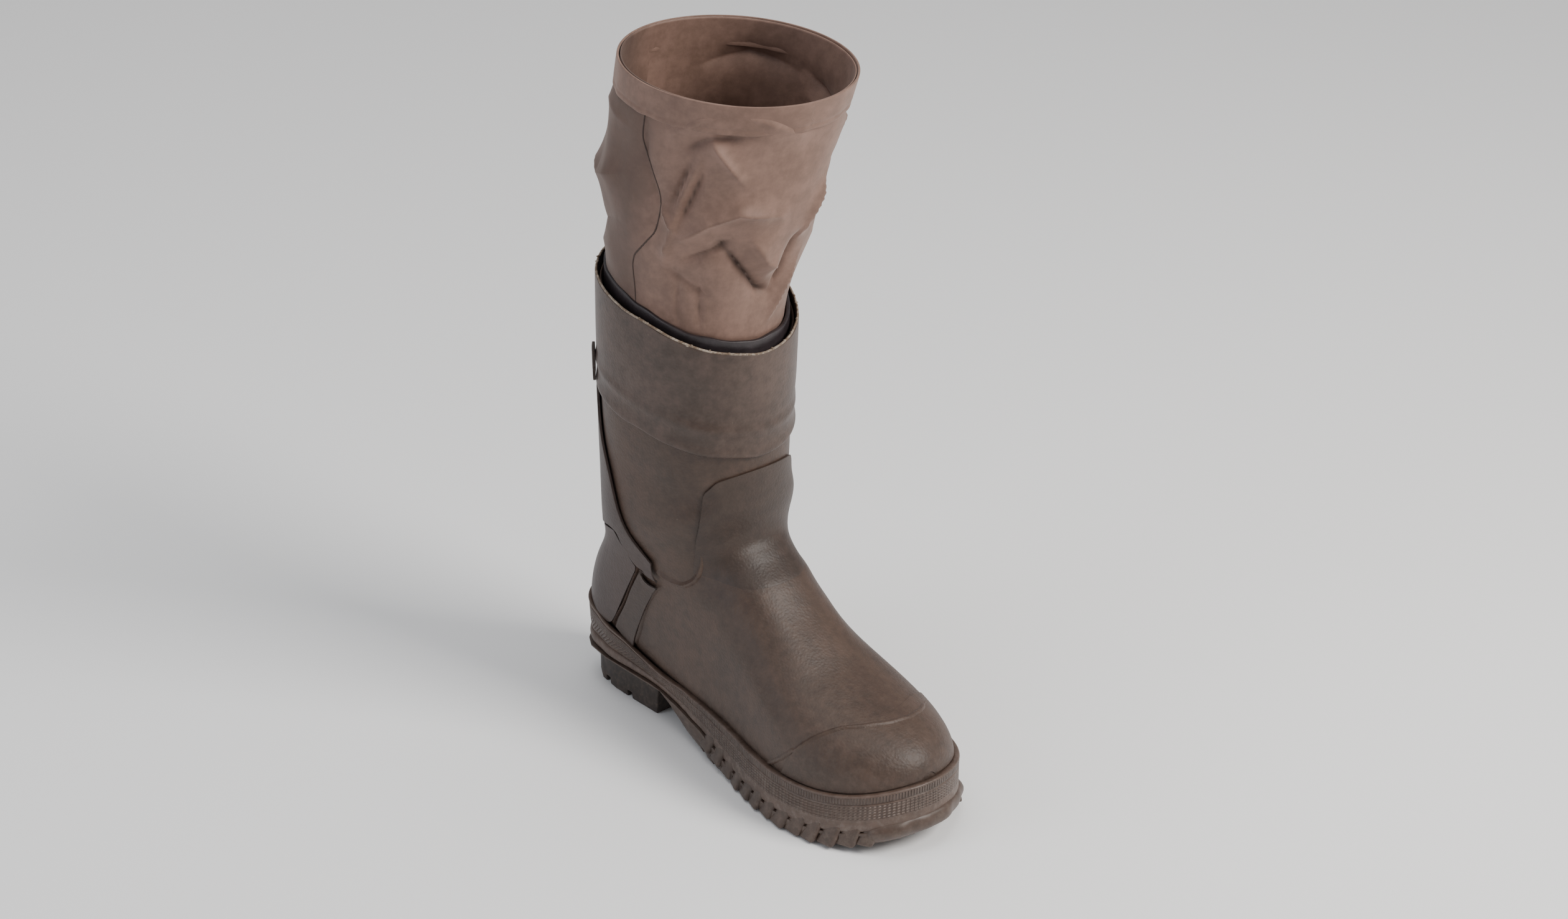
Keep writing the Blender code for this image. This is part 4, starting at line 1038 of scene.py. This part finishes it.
def legSections():
    # centre and half sizes of the leg at several heights, from its CAD node
    tree = nodeTree("leg")
    low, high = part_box("leg")
    rows = []
    for z in np.linspace(low.z + 0.5 * mm, high.z - 0.5 * mm, 30):
        spot = []
        for out in (Vector((0, 1, 0)), Vector((0, -1, 0)), Vector((1, 0, 0)), Vector((-1, 0, 0))):
            spot.append(tree.ray_cast(Vector((*legPlan["centre"], z)) + out * 0.2, -out)[0])
        back, front, right, left = spot
        middle = (0.5 * (back.y + front.y), 0.5 * (right.x + left.x))
        half = (0.5 * (back.y - front.y), 0.5 * (right.x - left.x))
        rows.append((z, middle[0], half[0], middle[1], half[1]))
    table = np.array(rows)
    for _ in range(4):
        table[1:-1, 1:] = 0.25 * table[:-2, 1:] + 0.5 * table[1:-1, 1:] + 0.25 * table[2:, 1:]
    return table


legTable = legSections()


def legForm(turn, z, lift=0.0):
    cy, deep, cx, wide = (np.interp(z, legTable[:, 0], legTable[:, k]) for k in (1, 2, 3, 4))
    across, along = np.sin(2 * math.pi * turn), np.cos(2 * math.pi * turn)
    # the outward direction of an oval
    outX, outY = across * deep, along * wide
    size = np.hypot(outX, outY)
    return np.stack([cx + wide * across + outX / size * lift, cy + deep * along + outY / size * lift, z], -1)


def foldLift(turn, z):
    # how far the cloth stands out, in metres, from the list of folds
    lift = np.zeros(len(turn))
    girth = legPlan["flat"][0]
    points = np.stack([turn * girth, z], 1)
    for width, height, line in legPlan["folds"]:
        for wrap in (-1.0, 0.0, 1.0):
            path = [((t + wrap) * girth, h * mm) for t, h in line]
            gap, along = nearLine(points, path)
            fade = np.clip(np.minimum(along, 1 - along) / 0.30, 0, 1)
            fade = 0.25 + 0.75 * fade * fade * (3 - 2 * fade)
            shape = np.exp(-np.abs(gap / (0.85 * width * mm)) ** 1.05)
            lift += legPlan["strength"] * height * mm * shape * fade
    slow = 0.5 * mm * np.sin(2 * math.pi * turn * 5 + z * 60)
    lift += slow + 0.35 * mm * np.sin(2 * math.pi * turn * 9 - z * 95)
    calm = np.clip((z - 292 * mm) / (24 * mm), 0, 1)
    top = np.clip((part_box("leg")[1].z - z) / (22 * mm), 0.15, 1)
    full = 2.7 * mm * np.clip((430 * mm - z) / (100 * mm), 0, 1)
    return lift * calm * top + full


def makeLeg():
    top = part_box("leg")[1].z
    around, rows = legPlan["around"], legPlan["rows"]
    bm = bmesh.new()
    bmesh.ops.create_grid(bm, x_segments=around, y_segments=rows, size=0.5)
    cloth = bm.loops.layers.uv.new("cloth")
    flat = np.array([v.co[:] for v in bm.verts])
    turn = flat[:, 0] + 0.5
    z = legPlan["bottom"] + (flat[:, 1] + 0.5) * (top - 1 * mm - legPlan["bottom"])
    lift = foldLift(turn % 1.0, z)
    setPoints(bm, legForm(turn, z, lift))
    bm.verts.index_update()
    # painted shade kept in the fold attribute: darker in the folds' troughs, and darker on the side behind
    # the inner seam, which faces away from the key light
    shade = bm.verts.layers.float.new("fold")
    shadeBehindSeam = np.clip((turn - 0.715) / 0.05, 0, 1) * np.clip((1.0 - turn) / 0.06, 0, 1)
    for vert, value, shadeBehind in zip(bm.verts, lift, shadeBehindSeam):
        vert[shade] = min(max(-0.1 - value / (5 * mm), 0), 1) + 1.0 * shadeBehind
    for face in bm.faces:
        for loop in face.loops:
            i = loop.vert.index
            loop[cloth].uv = (turn[i] * legPlan["flat"][0], z[i])
    bmesh.ops.remove_doubles(bm, verts=bm.verts, dist=0.02 * mm)
    bmesh.ops.recalc_face_normals(bm, faces=bm.faces)
    piece = finishPiece(bm, "legCloth", legCloth, ["leg"], sharp=0)
    wall = piece.modifiers.new("thickness", "SOLIDIFY")
    wall.thickness = 0.7 * mm
    wall.offset = -1.0
    return piece


leg = makeLeg()
legTree = joinedTree([leg])


def legPath(points):
    path = []
    for turn, height in points:
        place = np.array([turn]), np.array([height * mm])
        path.append(tuple(legForm(*place, foldLift(*place))[0] / mm))
    return path


def clothMap(piece):
    # the strips take their weave from their place: round the leg and up it
    layer = piece.data.uv_layers.new(name="cloth")
    for loop in piece.data.loops:
        x, y, z = piece.data.vertices[loop.vertex_index].co
        layer.data[loop.index].uv = (math.atan2(x, y - legPlan["centre"][1]) * legPlan["radius"], z)


seamProfile = [-0.1, 0.35, 0.45, 0.35, -0.1]
for seamName, key in (("legSeamInner", "innerSeam"), ("legSeamOuter", "outerSeam")):
    seamPath = legPath(legPlan[key])
    surfaceStrip(seamName, legTree, seamPath, 1.3, seamProfile, seamThread, 0.3)


def makeHem():
    bm = roundedCopy("leg_hem", 0.5 * mm, 3)
    points, normals = meshPoints(bm)
    hemX, hemY = legPlan["hemCentre"]
    turn = np.arctan2(points[:, 0] - hemX, points[:, 1] - hemY) / (2 * math.pi) % 1.0
    low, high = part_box("leg_hem")
    share = (points[:, 2] - low.z) / (high.z - low.z)
    sew = np.exp(-((share - 0.18) / 0.05) ** 2) * (0.7 + 0.3 * np.sin(2 * math.pi * turn * 120))
    pucker = 0.5 * np.sin(2 * math.pi * turn * 17 + 1) + 0.35 * np.sin(2 * math.pi * turn * 29)
    points += normals * ((-0.45 * sew + 0.35 * pucker * (1 - share)) * mm)[:, None]
    setPoints(bm, points)
    piece = finishPiece(bm, "legHem", legCloth, ["leg_hem"], sharp=0)
    clothMap(piece)
    return piece


hem = makeHem()
print("leg made")

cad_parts["insole"].data.materials.clear()
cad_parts["insole"].data.materials.append(feltLining)


# Floor, light and camera

def makeFloor():
    bm = bmesh.new()
    bmesh.ops.create_grid(bm, x_segments=2, y_segments=2, size=6.0)
    mesh = bpy.data.meshes.new("floor")
    bm.to_mesh(mesh)
    bm.free()
    floor = bpy.data.objects.new("floor", mesh)
    bpy.context.scene.collection.objects.link(floor)
    made, tree, shader = startMaterial("paleFloor")
    setInputs(tree, shader, {"Base Color": (0.93, 0.93, 0.93, 1), "Roughness": 0.85})
    mesh.materials.append(made)


def areaLight(name, place, target, size, power, colour=(1, 1, 1)):
    data = bpy.data.lights.new(name, "AREA")
    data.shape = "RECTANGLE"
    data.size, data.size_y = size
    data.energy = power
    data.color = colour
    light = bpy.data.objects.new(name, data)
    light.location = place
    light.rotation_mode = "QUATERNION"
    light.rotation_quaternion = (Vector(target) - Vector(place)).to_track_quat("-Z", "Y")
    bpy.context.scene.collection.objects.link(light)


makeFloor()
world = bpy.data.worlds.new("studio")
world.use_nodes = True
world.node_tree.nodes["Background"].inputs["Color"].default_value = (0.98, 0.98, 1.0, 1)
world.node_tree.nodes["Background"].inputs["Strength"].default_value = 0.34
bpy.context.scene.world = world
areaLight("keyLight", (0.7, -1.7, 1.7), (0, -0.1, 0.2), (1.0, 1.0), 60, (1.0, 0.97, 0.93))
areaLight("sideLight", (-2.0, 0.4, 0.9), (0, -0.05, 0.2), (1.0, 1.6), 11, (0.86, 0.91, 1.0))
areaLight("topLight", (-0.2, 0.2, 2.4), (0, -0.1, 0.2), (1.8, 1.8), 22)

cameraPlan = {
    "azimuth": 41.34, "elevation": 28.87, "roll": 2.48, "distance": 2.662, "up": 0.093, "aside": -0.0075,
    "lens": 90.0, "aim": (0.006, -0.118, 0.212),
}


def sidesOf(back, roll):
    # the picture's right and up directions for a camera that looks along minus back
    level = Vector((0, 0, 1)).cross(back).normalized()
    rise = back.cross(level)
    return level * math.cos(roll) + rise * math.sin(roll), rise * math.cos(roll) - level * math.sin(roll)


def makeCamera():
    # stands where a camera fit puts the photo's camera, and turns to take in the whole boot
    azimuth, elevation, roll = (math.radians(cameraPlan[k]) for k in ("azimuth", "elevation", "roll"))
    flat = math.cos(elevation)
    back = Vector((-math.sin(azimuth) * flat, -math.cos(azimuth) * flat, math.sin(elevation)))
    right, up = sidesOf(back, roll)
    place = back * cameraPlan["distance"] + up * cameraPlan["up"] + right * cameraPlan["aside"]
    back = (place - Vector(cameraPlan["aim"])).normalized()
    right, up = sidesOf(back, roll)
    data = bpy.data.cameras.new("photoCamera")
    data.lens = cameraPlan["lens"]
    camera = bpy.data.objects.new("photoCamera", data)
    bpy.context.scene.collection.objects.link(camera)
    camera.matrix_world = Matrix((
        (right.x, up.x, back.x, place.x),
        (right.y, up.y, back.y, place.y),
        (right.z, up.z, back.z, place.z),
        (0, 0, 0, 1),
    ))
    bpy.context.scene.camera = camera


makeCamera()
print("floor, lights and camera made")
